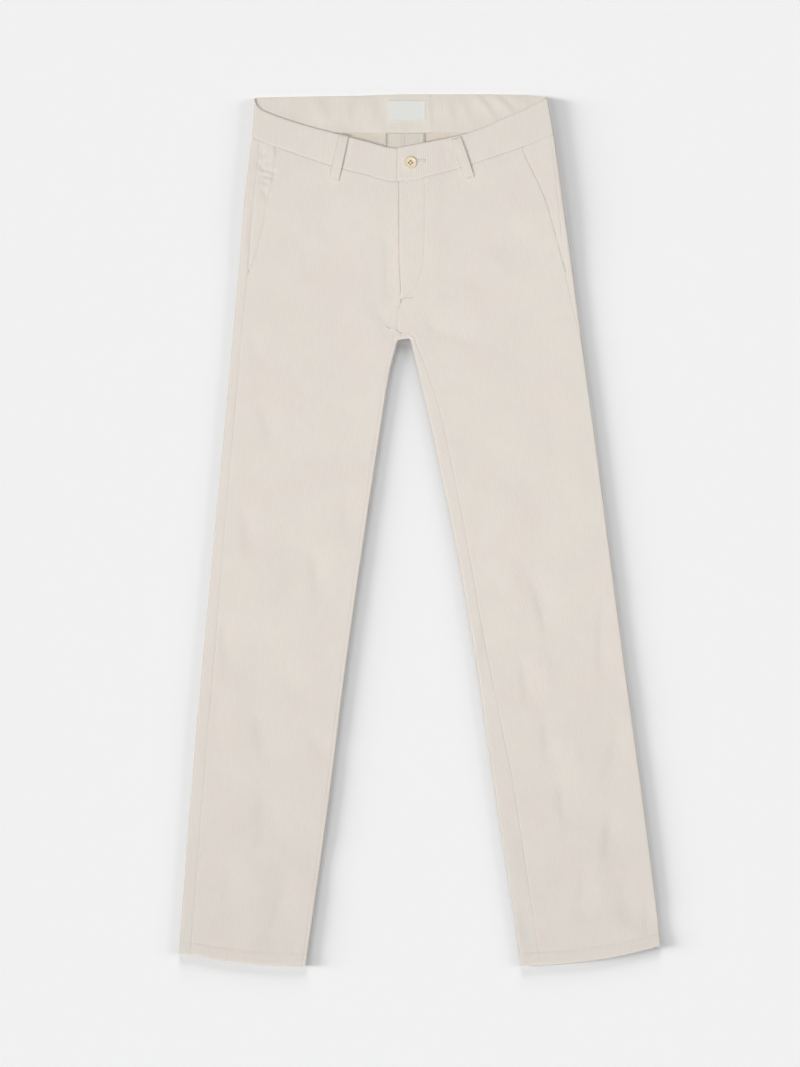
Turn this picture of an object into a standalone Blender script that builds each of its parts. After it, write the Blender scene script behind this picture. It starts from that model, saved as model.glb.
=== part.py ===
"""Corduroy trousers laid flat with the front up, one solid for each piece of cloth.

Sizes and tables are in millimetres, and MM turns them into metres.
+Z points up from the surface the trousers lie on, and +Y from the hems to the waist.
Left and right are the wearer's, so the right leg lies towards -X.
A piece of cloth is an open sheet on its outer face, which Solidify gives a wall inwards.
"""

import bisect
import math

import bmesh
import bpy
from mathutils import Vector

MM = 0.001

# Walls and gaps
WALL = 1.2                  # corduroy, one layer
BAND_WALL = 1.4             # waistband, with its interlining
INNER_WALL = 1.0            # facing, seat outlets and label
SEAM_GAP = 0.3              # between pieces that are sewn together
FOLD_SEAM_GAP = 0.6         # outside a fold, where the two walls lean together
WAIST_GAP = 0.5             # along the waist seam, whose two edges bend at different places
HEM_DEPTH = 18.0            # turned up inside each leg, so twice as thick
SEAM_TAPER = 2.0            # columns over which the turned-up hem thins towards a seam

# How high the flattened garment lies
LEG_HEIGHT = 5.4
WAIST_HEIGHT = 6.2
BACK_LIFT = 1.5             # the waist end lies on its back belt loops
RISE_START = 300.0
RISE_END = 440.0

# Side folds, one row per height: y, x of the fold, how far the side seam lies past it on top
SIDE_FOLD = {
    "right": [
        (563.3, -214.4, 12.5), (520.4, -217.0, 12.5), (442.4, -226.1, 12.5), (338.4, -234.9, 12.5),
        (234.4, -244.3, 13.0), (52.4, -261.2, 14.0), (-103.6, -275.9, 16.0), (-259.6, -290.2, 17.0),
        (-415.6, -302.8, 17.0), (-560.0, -313.8, 17.0),
    ],
    "left": [
        (563.3, 166.5, 5.0), (520.4, 174.3, 5.5), (442.4, 185.4, 7.0), (338.4, 199.7, 10.5),
        (286.4, 206.4, 7.0), (234.4, 213.3, 1.0), (130.4, 227.6, 0.0), (-25.6, 247.8, 0.0),
        (-181.6, 268.3, 0.0), (-337.6, 289.6, 0.0), (-493.6, 309.5, 0.0), (-560.0, 316.5, 0.0),
    ],
}

# Inner folds below the crotch: y, x of the fold, how far the inseam lies past it on top
INNER_FOLD = {
    "right": [
        (242.6, -29.4, 6.0), (208.4, -38.0, 6.5), (130.4, -50.6, 6.5), (-25.6, -74.0, 6.5),
        (-181.6, -96.1, 6.5), (-337.6, -115.6, 6.5), (-566.4, -147.4, 6.5),
    ],
    "left": [
        (242.6, -10.3, 7.5), (208.4, -1.8, 12.5), (130.4, 16.4, 17.5), (52.4, 33.0, 17.5),
        (-25.6, 48.9, 16.5), (-103.6, 62.5, 16.5), (-181.6, 75.5, 18.5), (-259.6, 86.8, 22.5),
        (-337.6, 98.3, 26.5), (-566.4, 133.0, 26.5),
    ],
}

# Waistband, round from the side fold: distance (towards the fly +, towards the seat -),
# y of the waist seam, y of the top edge
WAIST = {
    "right": [
        (230.0, 456.5, 500.0), (190.0, 453.5, 496.8), (148.0, 463.5, 506.2), (109.0, 473.0, 516.5),
        (75.0, 484.5, 525.2), (39.0, 497.0, 536.4), (22.0, 503.0, 542.5), (10.5, 507.5, 547.7),
        (5.0, 509.5, 554.0), (0.0, 511.5, 562.0), (-12.0, 516.0, 563.8), (-35.0, 520.0, 564.5),
        (-98.0, 523.5, 567.0), (-203.0, 524.0, 567.0),
    ],
    "left": [
        (206.0, 454.0, 497.3), (191.0, 455.5, 500.2), (160.0, 461.8, 506.2), (126.0, 471.2, 513.5),
        (91.0, 482.5, 525.3), (61.0, 492.8, 538.7), (39.0, 500.6, 547.4), (12.0, 511.5, 558.5),
        (0.0, 515.5, 562.8), (-12.0, 518.5, 563.8), (-40.0, 522.0, 566.0), (-100.0, 523.8, 567.0),
        (-196.0, 524.0, 567.0),
    ],
}
WAIST_SIDE_Y = 515.0        # height at which distances round the waist start from the fold
BAND_LEAN = 60.0            # the slant of the side folds has left the band this far round

# Slanted pocket mouths: y, x of the edge
POCKET_EDGE = {
    "right": [
        (337.0, -223.2), (348.0, -217.0), (361.3, -212.7), (385.2, -207.4), (422.2, -200.7),
        (456.7, -192.8), (502.2, -185.8),
    ],
    "left": [
        (338.7, 190.2), (371.8, 182.3), (398.3, 175.6), (422.2, 169.0), (444.7, 161.1),
        (462.0, 153.0), (489.8, 138.5), (505.0, 133.0),
    ],
}
POCKET_REACH = 28.0         # of the pocket facing behind the mouth

# Centre seams: y, x.  The front one is the crotch seam and, above it, the edge of the fly.
FRONT_CENTRE = [
    (258.0, -29.8), (271.0, -29.0), (286.0, -27.2), (300.0, -23.3), (330.0, -24.5), (360.0, -25.7),
    (455.0, -26.0),
]
BACK_CENTRE = [(251.0, -26.0), (567.0, -17.0)]

# The crotch fold is an arc from leg to leg, and the four panels meet at one angle of it
CROTCH = Vector((-19.9, 240.2))
CROTCH_RADIUS = 9.8
JUNCTION = 119.0            # degrees, from +X
ARC_SEAM = {                # angle, how far the seam lies past the fold on top
    "right": [(119.0, 12.1), (135.0, 9.5), (150.0, 7.5), (166.0, 6.0)],
    "left": [(14.0, 7.5), (40.0, 8.0), (65.0, 9.0), (90.0, 9.5), (119.0, 12.1)],
}

LEGS = {
    "right": {"toward": 1.0, "hem_tilt": 16.4, "hem_bow": 4.0, "arc_start": 166.0, "arc_rows": 4,
              "arc_step": 8.0, "band_end": 6.0},
    "left": {"toward": -1.0, "hem_tilt": 26.0, "hem_bow": 5.5, "arc_start": 14.0, "arc_rows": 7,
             "arc_step": 6.0, "band_end": -28.5},
}
LEG_TOP = 242.6             # where the crotch arc begins
LEG_BOTTOM = -566.4         # inner corner of each hem
LEG_ROWS = 12
BOW_REACH = 120.0           # height above the hem at which its bow has faded out
HIP_ROWS = [0.06, 0.14, 0.20, 0.25, 0.31, 0.45, 0.62, 0.80, 1.0]
HIP_EASE = 0.4              # share of the hip by which the rows have straightened out
ROW_BEND = 4.0              # how sharply the rows turn down to the crotch

FRONT_COLUMNS = [0.22, 0.44, 0.62, 0.72, 0.80, 0.90, 1.0]      # share of the way to the centre
BACK_COLUMNS = [0.2, 0.4, 0.6, 0.8, 0.93, 1.0]
STRIP_COLUMNS = 2           # from a seam to where its fold begins
ARC_COLUMNS = 6             # round a fold
EDGE_COLUMNS = 4            # of a front, beside its side seam
EDGE_STEP = 0.4             # first column, short so that a wall ends square to its seam
MIN_STRIP = 2.0
EDGE_STRIP = 3.0            # flat part of the front's columns beside its side seam

# Fly: the left front and left waistband lap over the right ones
FLY_UNDER_X = -12.0         # edge of the right front beneath the lap
FLY_BOTTOM = 306.0
LAP_START = 286.0
LAP_FADE = (16.0, 38.0)     # x over which the lap comes back down
SHIELD = {"x": (-46.0, 4.0), "y": (300.0, 452.0)}

FACING = {"inset": 8.0, "low": 517.5, "below_top": 1.5}
OUTLET = {"waist": 25.4, "crotch": 12.0, "top": 516.8, "bottom": 264.0}
LABEL = {"x": (-41.1, 8.3), "y": (533.8, 559.1)}

LOOP_WIDTH = 12.5
LOOP_ARCH = 0.8             # a front loop stands this much clear of the band at its middle
FRONT_LOOPS = {             # top centre, bottom centre
    "right": ((-98.0, 513.9), (-111.0, 454.7)),
    "left": ((47.6, 510.6), (65.8, 457.3)),
}
BACK_LOOPS = {"right": -124.0, "centre": -17.2, "left": 90.0}
BACK_LOOP_Y = (565.0, 506.0)

BUTTON = {"x": -11.6, "y": 477.9, "radius": 8.0, "rim": 2.6, "dish": 1.9, "hole": 0.95, "pitch": 3.2}
BUTTON_SIDES = 32
HOLE_SIDES = 10

COLOURS = {                 # red, green, blue (linear), roughness
    "corduroy": ((0.74, 0.69, 0.62), 0.92),
    "facing_cloth": ((0.72, 0.67, 0.60), 0.9),
    "label_tape": ((0.76, 0.77, 0.76), 0.7),
    "button_resin": ((0.85, 0.73, 0.47), 0.35),
}


def read(table, column, at):
    """Smooth curve through one column of a table, against its first column, with no overshoot."""
    rows = sorted(table)
    keys = [row[0] for row in rows]
    values = [row[column] for row in rows]
    last = len(rows) - 1
    cell = min(max(bisect.bisect_right(keys, at) - 1, 0), last - 1)

    def secant(index):
        return (values[index + 1] - values[index]) / (keys[index + 1] - keys[index])

    def slope(index):
        if index in (0, last):
            return secant(min(index, last - 1))
        before, after = secant(index - 1), secant(index)
        return 2.0 * before * after / (before + after) if before * after > 0.0 else 0.0

    span = keys[cell + 1] - keys[cell]
    t = (at - keys[cell]) / span
    if t < 0.0 or t > 1.0:
        edge = 0 if t < 0.0 else last
        return values[edge] + slope(edge) * (at - keys[edge])
    rise = values[cell + 1] - values[cell]
    start, end = slope(cell) * span, slope(cell + 1) * span
    return values[cell] + t * (start + t * (3.0 * rise - 2.0 * start - end + t * (start + end - 2.0 * rise)))


def mix(start, end, share):
    return start + (end - start) * share


def ease(start, end, value):
    """0 at start, 1 at end, level at both."""
    t = min(1.0, max(0.0, (value - start) / (end - start)))
    return t * t * (3.0 - 2.0 * t)


def spread(start, end, count):
    """count + 1 evenly spaced values."""
    return [mix(start, end, index / count) for index in range(count + 1)]


def underside(y):
    return BACK_LIFT * ease(RISE_START, RISE_END, y)


def height(y):
    return mix(LEG_HEIGHT, WAIST_HEIGHT, ease(RISE_START, RISE_END, y))


def topside(y):
    return underside(y) + height(y)


def quarter(y):
    """Length of cloth from the middle of a fold to where it lies flat."""
    return math.pi / 4.0 * height(y)


def fold_point(edge, outward, around):
    """Outer face of a flattened tube, a distance past its fold: over the top +, beneath -."""
    tall = height(edge.y)
    radius = tall / 2.0
    bend = quarter(edge.y)
    if abs(around) <= bend:
        angle = around / radius
        inset = radius * (1.0 - math.cos(angle))
        z = radius * (1.0 + math.sin(angle))
    else:
        inset = radius + abs(around) - bend
        z = tall if around > 0.0 else 0.0
    place = edge - outward.normalized() * inset
    return Vector((place.x, place.y, underside(edge.y) + z))


def past_fold(inset, y):
    """Distance round from a fold to a point on top that lies inset from it in plan."""
    return inset - height(y) / 2.0 + quarter(y)


# Rows of a leg, from the hem to the waist

def inner_frame(leg, y):
    """Fold, outward direction and seam distance at the inside of a leg."""
    table = INNER_FOLD[leg]
    toward = LEGS[leg]["toward"]
    slope = (read(table, 1, y + 1.0) - read(table, 1, y - 1.0)) / 2.0
    return {"edge": Vector((read(table, 1, y), y)), "out": Vector((toward, -toward * slope)),
            "seam": read(table, 2, y)}


def arc_frame(leg, angle):
    """The same on the crotch arc."""
    turn = math.radians(angle)
    ray = Vector((math.cos(turn), math.sin(turn)))
    return {"edge": CROTCH + ray * CROTCH_RADIUS, "out": -ray, "seam": read(ARC_SEAM[leg], 1, angle)}


def leg_rows(leg):
    """One entry per row: where it meets the side fold and the inside, and how far up the hip it is."""
    size = LEGS[leg]
    toward = size["toward"]
    rows = []
    inner_heights = [LEG_BOTTOM, LEG_BOTTOM + HEM_DEPTH, LEG_BOTTOM + HEM_DEPTH + 1.5]
    inner_heights += spread(LEG_BOTTOM + HEM_DEPTH + 1.5, LEG_TOP, LEG_ROWS)[1:]
    for y in inner_heights:
        tilt = size["hem_tilt"] * (LEG_TOP - y) / (LEG_TOP - LEG_BOTTOM)
        bow = size["hem_bow"] * max(0.0, 1.0 - (y - LEG_BOTTOM) / BOW_REACH)
        rows.append({"side_y": y + tilt, "rise": 0.0, "bow": bow, "hem": y <= LEG_BOTTOM + HEM_DEPTH + 0.1,
                     "inner": inner_frame(leg, y), "bend": 0.0})
    parted = toward * math.degrees(SEAM_GAP / 2.0 / CROTCH_RADIUS)
    angles = spread(size["arc_start"], JUNCTION + parted, size["arc_rows"])[1:]
    for count, angle in enumerate(angles, start=1):
        rows.append({"side_y": LEG_TOP + size["arc_step"] * count, "rise": 0.0, "bow": 0.0, "hem": False,
                     "inner": arc_frame(leg, angle), "bend": ROW_BEND})
    base = rows[-1]["side_y"]
    waist_y = read(WAIST[leg], 1, 0.0) - WAIST_GAP / 2.0
    for rise in HIP_ROWS:
        rows.append({"side_y": mix(base, waist_y, rise), "rise": rise, "bow": 0.0, "hem": False,
                     "inner": None, "bend": ROW_BEND * (1.0 - ease(0.0, HIP_EASE, rise))})
    return rows


def side_point(leg, row, around):
    """Outer face near the side fold, on one row."""
    toward = LEGS[leg]["toward"]
    y = row["side_y"] + row["rise"] * (read(WAIST[leg], 1, around) - read(WAIST[leg], 1, 0.0))
    table = SIDE_FOLD[leg]
    slope = (read(table, 1, y + 1.0) - read(table, 1, y - 1.0)) / 2.0 * (1.0 - row["rise"])
    return fold_point(Vector((read(table, 1, y), y)), Vector((-toward, toward * slope)), around)


def side_seam(leg, y):
    return read(SIDE_FOLD[leg], 2, y)


def waist_around(leg, x):
    """Distance round the waist from the side fold to a place x on the top."""
    return past_fold(abs(x - read(SIDE_FOLD[leg], 1, WAIST_SIDE_Y)), WAIST_SIDE_Y)


def across(leg, row, start, end, share, under):
    """A point between the side and the inside of a row, on the flat."""
    eased = share ** (1.0 + row["bend"])
    x = mix(start.x, end.x, share)
    y = mix(start.y, end.y, eased) - row["bow"] * 4.0 * share * (1.0 - share)
    if row["rise"]:
        sign = -1.0 if under else 1.0
        ends = [read(WAIST[leg], 1, sign * waist_around(leg, point.x)) for point in (start, end)]
        curve = read(WAIST[leg], 1, sign * waist_around(leg, x)) - mix(ends[0], ends[1], share)
        y += row["rise"] * curve
    return Vector((x, y, underside(y) if under else topside(y)))


# Panels

def half_gap(seam, y):
    """Half the gap between the panels at a seam, by where it lies round the fold."""
    return mix(FOLD_SEAM_GAP, SEAM_GAP, ease(0.0, quarter(y), abs(seam))) / 2.0


def back_stations(seam, y):
    """Distances from the edge of a back at its seam, round the fold and to the flat beneath."""
    edge = seam - half_gap(seam, y)
    start = min(quarter(y), edge - MIN_STRIP)
    return [edge] + spread(edge - EDGE_STEP, start, STRIP_COLUMNS) + spread(start, -quarter(y), ARC_COLUMNS)[1:]


def front_stations(edge, y):
    """Distances from the side edge of a front to where it lies flat."""
    flat = max(edge, quarter(y)) + EDGE_STRIP
    return [edge] + spread(edge + EDGE_STEP, flat, EDGE_COLUMNS)


def back_grid(leg, rows):
    """Points of a back panel: over the side fold, across beneath, and up round the inner fold."""
    toward = LEGS[leg]["toward"]
    grid = []
    for row in rows:
        y = row["side_y"]
        line = [side_point(leg, row, around) for around in back_stations(side_seam(leg, y), y)]
        inner = row["inner"]
        if inner:
            stations = back_stations(inner["seam"], inner["edge"].y)[::-1]
            rounds = [fold_point(inner["edge"], inner["out"], around) for around in stations]
            end = rounds[0]
        else:
            rounds = []
            low = mix(BACK_CENTRE[0][0], read(WAIST[leg], 1, -waist_around(leg, BACK_CENTRE[1][1])) -
                      WAIST_GAP / 2.0, row["rise"])
            end = Vector((read(BACK_CENTRE, 1, low) - toward * SEAM_GAP / 2.0, low, 0.0))
        line += [across(leg, row, line[-1], end, share, True) for share in BACK_COLUMNS]
        grid.append(line + rounds[1:])
    return grid


def front_edge(leg, y):
    """How far past the side fold a front panel starts: at the side seam, or at the pocket mouth."""
    pocket = POCKET_EDGE[leg]
    seam = side_seam(leg, y) + half_gap(side_seam(leg, y), y)
    if y <= pocket[0][0]:
        return seam
    mouth = past_fold(abs(read(pocket, 1, y) - read(SIDE_FOLD[leg], 1, y)), y)
    return max(seam, mouth)


def lap_lift(x, y, layer):
    """How far a left piece stands over the right one that it laps."""
    return (layer + SEAM_GAP) * (1.0 - ease(LAP_FADE[0], LAP_FADE[1], x)) * ease(LAP_START, FLY_BOTTOM, y)


def front_grid(leg, rows):
    """Points of a front panel, all on top, from the side seam or pocket mouth to the centre."""
    toward = LEGS[leg]["toward"]
    grid = []
    for row in rows:
        y = row["side_y"]
        line = [side_point(leg, row, around) for around in front_stations(front_edge(leg, y), y)]
        inner = row["inner"]
        if inner:
            end = fold_point(inner["edge"], inner["out"], inner["seam"] + SEAM_GAP / 2.0)
        else:
            top = read(WAIST[leg], 1, waist_around(leg, FRONT_CENTRE[-1][1])) - WAIST_GAP / 2.0
            y = mix(FRONT_CENTRE[0][0], top, row["rise"])
            x = read(FRONT_CENTRE, 1, y) - toward * SEAM_GAP / 2.0
            if leg == "right" and y > FLY_BOTTOM + 5.0:
                x = FLY_UNDER_X
            end = Vector((x, y, 0.0))
        line += [across(leg, row, line[-1], end, share, False) for share in FRONT_COLUMNS]
        if leg == "left" and not inner:
            for point in line:
                point.z += lap_lift(point.x, point.y, WALL)
        grid.append(line)
    return grid


def pocket_grid(leg, rows):
    """Points of the facing that shows in a pocket mouth and reaches in behind the front."""
    grid = []
    for row in rows:
        y = row["side_y"]
        if row["inner"] or y < POCKET_EDGE[leg][0][0] - SEAM_GAP - HEM_DEPTH:
            continue
        outer = side_seam(leg, y) + SEAM_GAP / 2.0
        line = [side_point(leg, row, around)
                for around in spread(outer, front_edge(leg, y) + POCKET_REACH, 4)]
        for point in line:
            point.z -= WALL + SEAM_GAP
        grid.append(line)
    return grid


# Waistband and what lies on or under it

def band_point(leg, around, up):
    waist = WAIST[leg]
    y = mix(read(waist, 1, around) + WAIST_GAP / 2.0, read(waist, 2, around), up)
    upright = read(SIDE_FOLD[leg], 1, WAIST_SIDE_Y)
    lean = max(0.0, 1.0 - abs(around) / BAND_LEAN)
    edge = Vector((mix(upright, read(SIDE_FOLD[leg], 1, y), lean), y))
    return fold_point(edge, Vector((-LEGS[leg]["toward"], 0.0)), around)


def band_grid(leg):
    """Points of one half of the waistband, from the fly round the side to the centre back."""
    toward = LEGS[leg]["toward"]
    bend = quarter(WAIST_SIDE_Y)
    fly = waist_around(leg, LEGS[leg]["band_end"])
    seat = -waist_around(leg, BACK_CENTRE[1][1] - toward * SEAM_GAP / 2.0)
    stations = spread(fly, bend + 8.0, 9) + spread(bend + 4.0, -bend, 7) + spread(-bend - 10.0, seat, 6)
    grid = []
    for up in spread(0.0, 1.0, 2):
        line = [band_point(leg, around, up) for around in stations[::-1]]
        if leg == "left":
            for around, point in zip(stations[::-1], line):
                if around > 0.0:
                    point.z += lap_lift(point.x, point.y, BAND_WALL)
        grid.append(line)
    return grid


def back_top(x):
    """Height of the back's top edge above a place x."""
    leg = "right" if x < BACK_CENTRE[1][1] else "left"
    return read(WAIST[leg], 2, -waist_around(leg, x))


def facing_grid():
    """Points of the lining of the back waistband, from one side fold to the other."""
    level = underside(WAIST_SIDE_Y) + BAND_WALL + SEAM_GAP + INNER_WALL
    grid = []
    for up, y in ((0.0, FACING["low"]), (1.0, SIDE_FOLD["left"][0][0])):
        ends = [read(SIDE_FOLD[leg], 1, y) + LEGS[leg]["toward"] * FACING["inset"]
                for leg in ("right", "left")]
        grid.append([Vector((x, mix(y, back_top(x) - FACING["below_top"], up), level))
                     for x in spread(*ends, 14)])
    return grid


def label_grid():
    level = underside(WAIST_SIDE_Y) + BAND_WALL + 2.0 * (SEAM_GAP + INNER_WALL)
    return [[Vector((x, y, level)) for x in spread(*LABEL["x"], 2)] for y in LABEL["y"]]


def outlet_grid(leg):
    """Seam allowance of one back panel, pressed open inside the seat."""
    toward = LEGS[leg]["toward"]
    grid = []
    for y in spread(OUTLET["bottom"], OUTLET["top"], 10):
        seam = read(BACK_CENTRE, 1, y) - toward * SEAM_GAP / 2.0
        width = mix(OUTLET["crotch"], OUTLET["waist"], ease(OUTLET["bottom"], OUTLET["top"], y))
        level = underside(y) + WALL + SEAM_GAP + INNER_WALL
        grid.append([Vector((x, y, level)) for x in (seam - toward * width, seam)])
    return grid


def shield_grid():
    """Strip behind the fly, under the right front's edge."""
    return [[Vector((x, y, topside(y) - WALL - SEAM_GAP)) for x in spread(*SHIELD["x"], 2)]
            for y in spread(*SHIELD["y"], 8)]


def front_loop_grid(leg):
    top, bottom = (Vector(end) for end in FRONT_LOOPS[leg])
    across_loop = (top - bottom).normalized().orthogonal() * LOOP_WIDTH / 2.0
    if across_loop.x < 0.0:
        across_loop = -across_loop
    grid = []
    for up in spread(0.0, 1.0, 8):
        middle = bottom.lerp(top, up)
        level = topside(middle.y) + SEAM_GAP + WALL + LOOP_ARCH * math.sin(math.pi * up)
        grid.append([Vector((place.x, place.y, level)) for place in (middle - across_loop, middle + across_loop)])
    return grid


def back_loop_grid(x):
    half = LOOP_WIDTH / 2.0
    return [[Vector((x + side, y, 0.0)) for side in (-half, half)] for y in spread(*BACK_LOOP_Y[::-1], 4)]


# Objects

def new_collection(name):
    collection = bpy.data.collections.new(name)
    bpy.context.scene.collection.children.link(collection)
    return collection


def new_material(node, finish):
    colour, roughness = COLOURS[finish]
    material = bpy.data.materials.new(node)
    material.use_nodes = True
    shader = material.node_tree.nodes["Principled BSDF"]
    shader.inputs["Base Color"].default_value = (*colour, 1.0)
    shader.inputs["Roughness"].default_value = roughness
    shader.inputs["Metallic"].default_value = 0.0
    material.diffuse_color = (*colour, 1.0)
    return material


def link(name, bm, collection):
    mesh = bpy.data.meshes.new(name)
    bm.to_mesh(mesh)
    bm.free()
    item = bpy.data.objects.new(name, mesh)
    collection.objects.link(item)
    return item


def faces_outward(bm):
    """Whether a sheet's faces point away from the middle height of the garment."""
    share = 0.0
    for face in bm.faces:
        face.normal_update()
        middle = face.calc_center_median() / MM
        level = underside(middle.y) + height(middle.y) / 2.0
        share += face.calc_area() * face.normal.z * (middle.z - level)
    return share > 0.0


def add_sheet(name, grid, wall, finish, collection, outer="out", hem_rows=0):
    """Sheet through a grid of points, with its wall behind its outer face.

    The outer face points out of the garment, or up. A row may be short of the last columns.
    """
    columns, rows = len(grid[0]), len(grid)
    bm = bmesh.new()
    bmesh.ops.create_grid(bm, x_segments=columns - 1, y_segments=rows - 1, size=1.0)
    weights = bm.verts.layers.deform.verify() if hem_rows else None
    gone = []
    for vert in bm.verts:
        column = round((vert.co.x + 1.0) / 2.0 * (columns - 1))
        row = round((vert.co.y + 1.0) / 2.0 * (rows - 1))
        if column >= len(grid[row]):
            gone.append(vert)
            continue
        if row < hem_rows:
            vert[weights][0] = min(1.0, min(column, columns - 1 - column) / SEAM_TAPER)
        vert.co = grid[row][column] * MM
    bmesh.ops.delete(bm, geom=gone, context='VERTS')
    bm.normal_update()
    if not (faces_outward(bm) if outer == "out" else bm.faces[:][0].normal.z > 0.0):
        bmesh.ops.reverse_faces(bm, faces=bm.faces[:])
    item = link(name, bm, collection)
    item.data.materials.append(new_material(name, finish))
    solid = item.modifiers.new("Wall", 'SOLIDIFY')
    solid.offset = -1.0
    solid.use_even_offset = True
    solid.use_quality_normals = True
    solid.thickness = wall * MM
    if hem_rows:
        item.vertex_groups.new(name="hem")
        solid.vertex_group = "hem"
        solid.thickness = 2.0 * wall * MM
        solid.thickness_vertex_group = 0.5
    return item


def add_button(collection, cutters):
    """Four-hole button with a raised rim, lying on the left waistband."""
    size = BUTTON
    profile = [(0.0, 0.0), (0.75, 0.0), (0.95, 0.12), (1.0, 0.35), (0.98, 0.75), (0.9, 0.97), (0.82, 1.0),
               (0.74, 0.93), (0.66, size["dish"] / size["rim"]), (0.0, size["dish"] / size["rim"] - 0.08)]
    bm = bmesh.new()
    verts = [bm.verts.new((share * size["radius"] * MM, 0.0, up * size["rim"] * MM)) for share, up in profile]
    for start, end in zip(verts[::-1], verts[-2::-1]):
        bm.edges.new((start, end))
    button = link("button", bm, collection)
    button.data.materials.append(new_material("button", "button_resin"))
    base = topside(size["y"]) + lap_lift(size["x"], size["y"], BAND_WALL) + SEAM_GAP
    button.location = (size["x"] * MM, size["y"] * MM, base * MM)
    turn = button.modifiers.new("Turn", 'SCREW')
    turn.steps = turn.render_steps = BUTTON_SIDES
    turn.use_merge_vertices = True
    turn.merge_threshold = 0.00001
    for index in range(4):
        angle = math.pi / 4.0 + index * math.pi / 2.0
        bm = bmesh.new()
        bmesh.ops.create_cone(bm, cap_ends=True, segments=HOLE_SIDES, radius1=size["hole"] * MM,
                              radius2=size["hole"] * MM, depth=4.0 * size["rim"] * MM)
        hole = link(f"button_hole_{index + 1}", bm, cutters)
        reach = size["pitch"] / math.sqrt(2.0) * MM
        hole.location = button.location + Vector((reach * math.cos(angle), reach * math.sin(angle), 0.0))
        hole.hide_render = True
        hole.display_type = 'WIRE'
        cut = button.modifiers.new(f"Hole {index + 1}", 'BOOLEAN')
        cut.operation = 'DIFFERENCE'
        cut.object = hole
    return button


def main():
    for item in list(bpy.data.objects):
        bpy.data.objects.remove(item)
    parts = new_collection("corduroy_trousers")
    cutters = new_collection("cutters")
    for leg in LEGS:
        rows = leg_rows(leg)
        add_sheet(f"back_{leg}", back_grid(leg, rows), WALL, "corduroy", parts, hem_rows=2)
        add_sheet(f"front_{leg}", front_grid(leg, rows), WALL, "corduroy", parts, hem_rows=2)
        add_sheet(f"pocket_facing_{leg}", pocket_grid(leg, rows), WALL, "corduroy", parts)
        add_sheet(f"waistband_{leg}", band_grid(leg), BAND_WALL, "corduroy", parts)
        add_sheet(f"belt_loop_front_{leg}", front_loop_grid(leg), WALL, "corduroy", parts)
        add_sheet(f"seat_outlet_{leg}", outlet_grid(leg), INNER_WALL, "corduroy", parts, outer="up")
    for place, x in BACK_LOOPS.items():
        add_sheet(f"belt_loop_back_{place}", back_loop_grid(x), WALL, "corduroy", parts)
    add_sheet("waistband_facing", facing_grid(), INNER_WALL, "facing_cloth", parts, outer="up")
    add_sheet("label", label_grid(), INNER_WALL, "label_tape", parts, outer="up")
    add_sheet("fly_shield", shield_grid(), WALL, "corduroy", parts)
    add_button(parts, cutters)


main()
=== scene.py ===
"""Corduroy trousers laid flat with the front up: the finish of every piece of cloth and trim.

Tables are in millimetres, and MM turns them into metres.
+Z points up from the surface the trousers lie on, and +Y from the hems to the waist.
Left and right are the wearer's, so the right leg lies towards -X.
A panel is a grid on its outer face. Each spot of it also has its place on the cut cloth, which the
weave follows, so that the wales run true round the folds.
"""

import bisect
import math

import bmesh
import bpy
import numpy as np
from bpy.props import FloatProperty, FloatVectorProperty, PointerProperty
from mathutils import Matrix, Vector
from mathutils.bvhtree import BVHTree


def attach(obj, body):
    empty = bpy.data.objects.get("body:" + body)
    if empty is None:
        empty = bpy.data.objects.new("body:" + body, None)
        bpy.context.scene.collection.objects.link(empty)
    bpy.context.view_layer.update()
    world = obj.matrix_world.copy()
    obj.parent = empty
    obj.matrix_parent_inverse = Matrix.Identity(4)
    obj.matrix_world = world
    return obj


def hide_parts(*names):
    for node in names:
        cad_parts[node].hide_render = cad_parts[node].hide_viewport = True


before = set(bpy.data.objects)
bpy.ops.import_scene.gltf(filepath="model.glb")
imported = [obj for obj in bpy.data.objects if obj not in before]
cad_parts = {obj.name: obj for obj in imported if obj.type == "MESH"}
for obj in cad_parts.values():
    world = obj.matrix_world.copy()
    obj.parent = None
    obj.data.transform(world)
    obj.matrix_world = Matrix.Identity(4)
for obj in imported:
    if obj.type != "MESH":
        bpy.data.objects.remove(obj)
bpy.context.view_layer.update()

bl_info = {
    "name": "Corduroy trousers",
    "version": (1, 0, 0),
    "blender": (4, 5, 0),
    "location": "3D View > Sidebar > Trousers",
    "description": "Straight-leg corduroy trousers laid flat, piece by piece",
    "category": "Add Mesh",
}

MM = 0.001

# Walls and gaps
WALL = 1.2                  # corduroy, one layer
BAND_WALL = 1.4             # waistband, with its interlining
INNER_WALL = 1.0            # facing, seat outlets and label
LAYER_GAP = 0.3             # between layers that lie on each other
SEAM_GAP = 0.06             # between the edges that a seam draws together
FOLD_SEAM_GAP = 0.14        # outside a fold, where the two walls lean together
WAIST_GAP = 0.14            # along the waist seam

# How high the flattened garment lies
LEG_HEIGHT = 5.4
WAIST_HEIGHT = 6.2
BACK_LIFT = 1.5             # the waist end lies on its back belt loops
RISE_START = 300.0
RISE_END = 440.0

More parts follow.
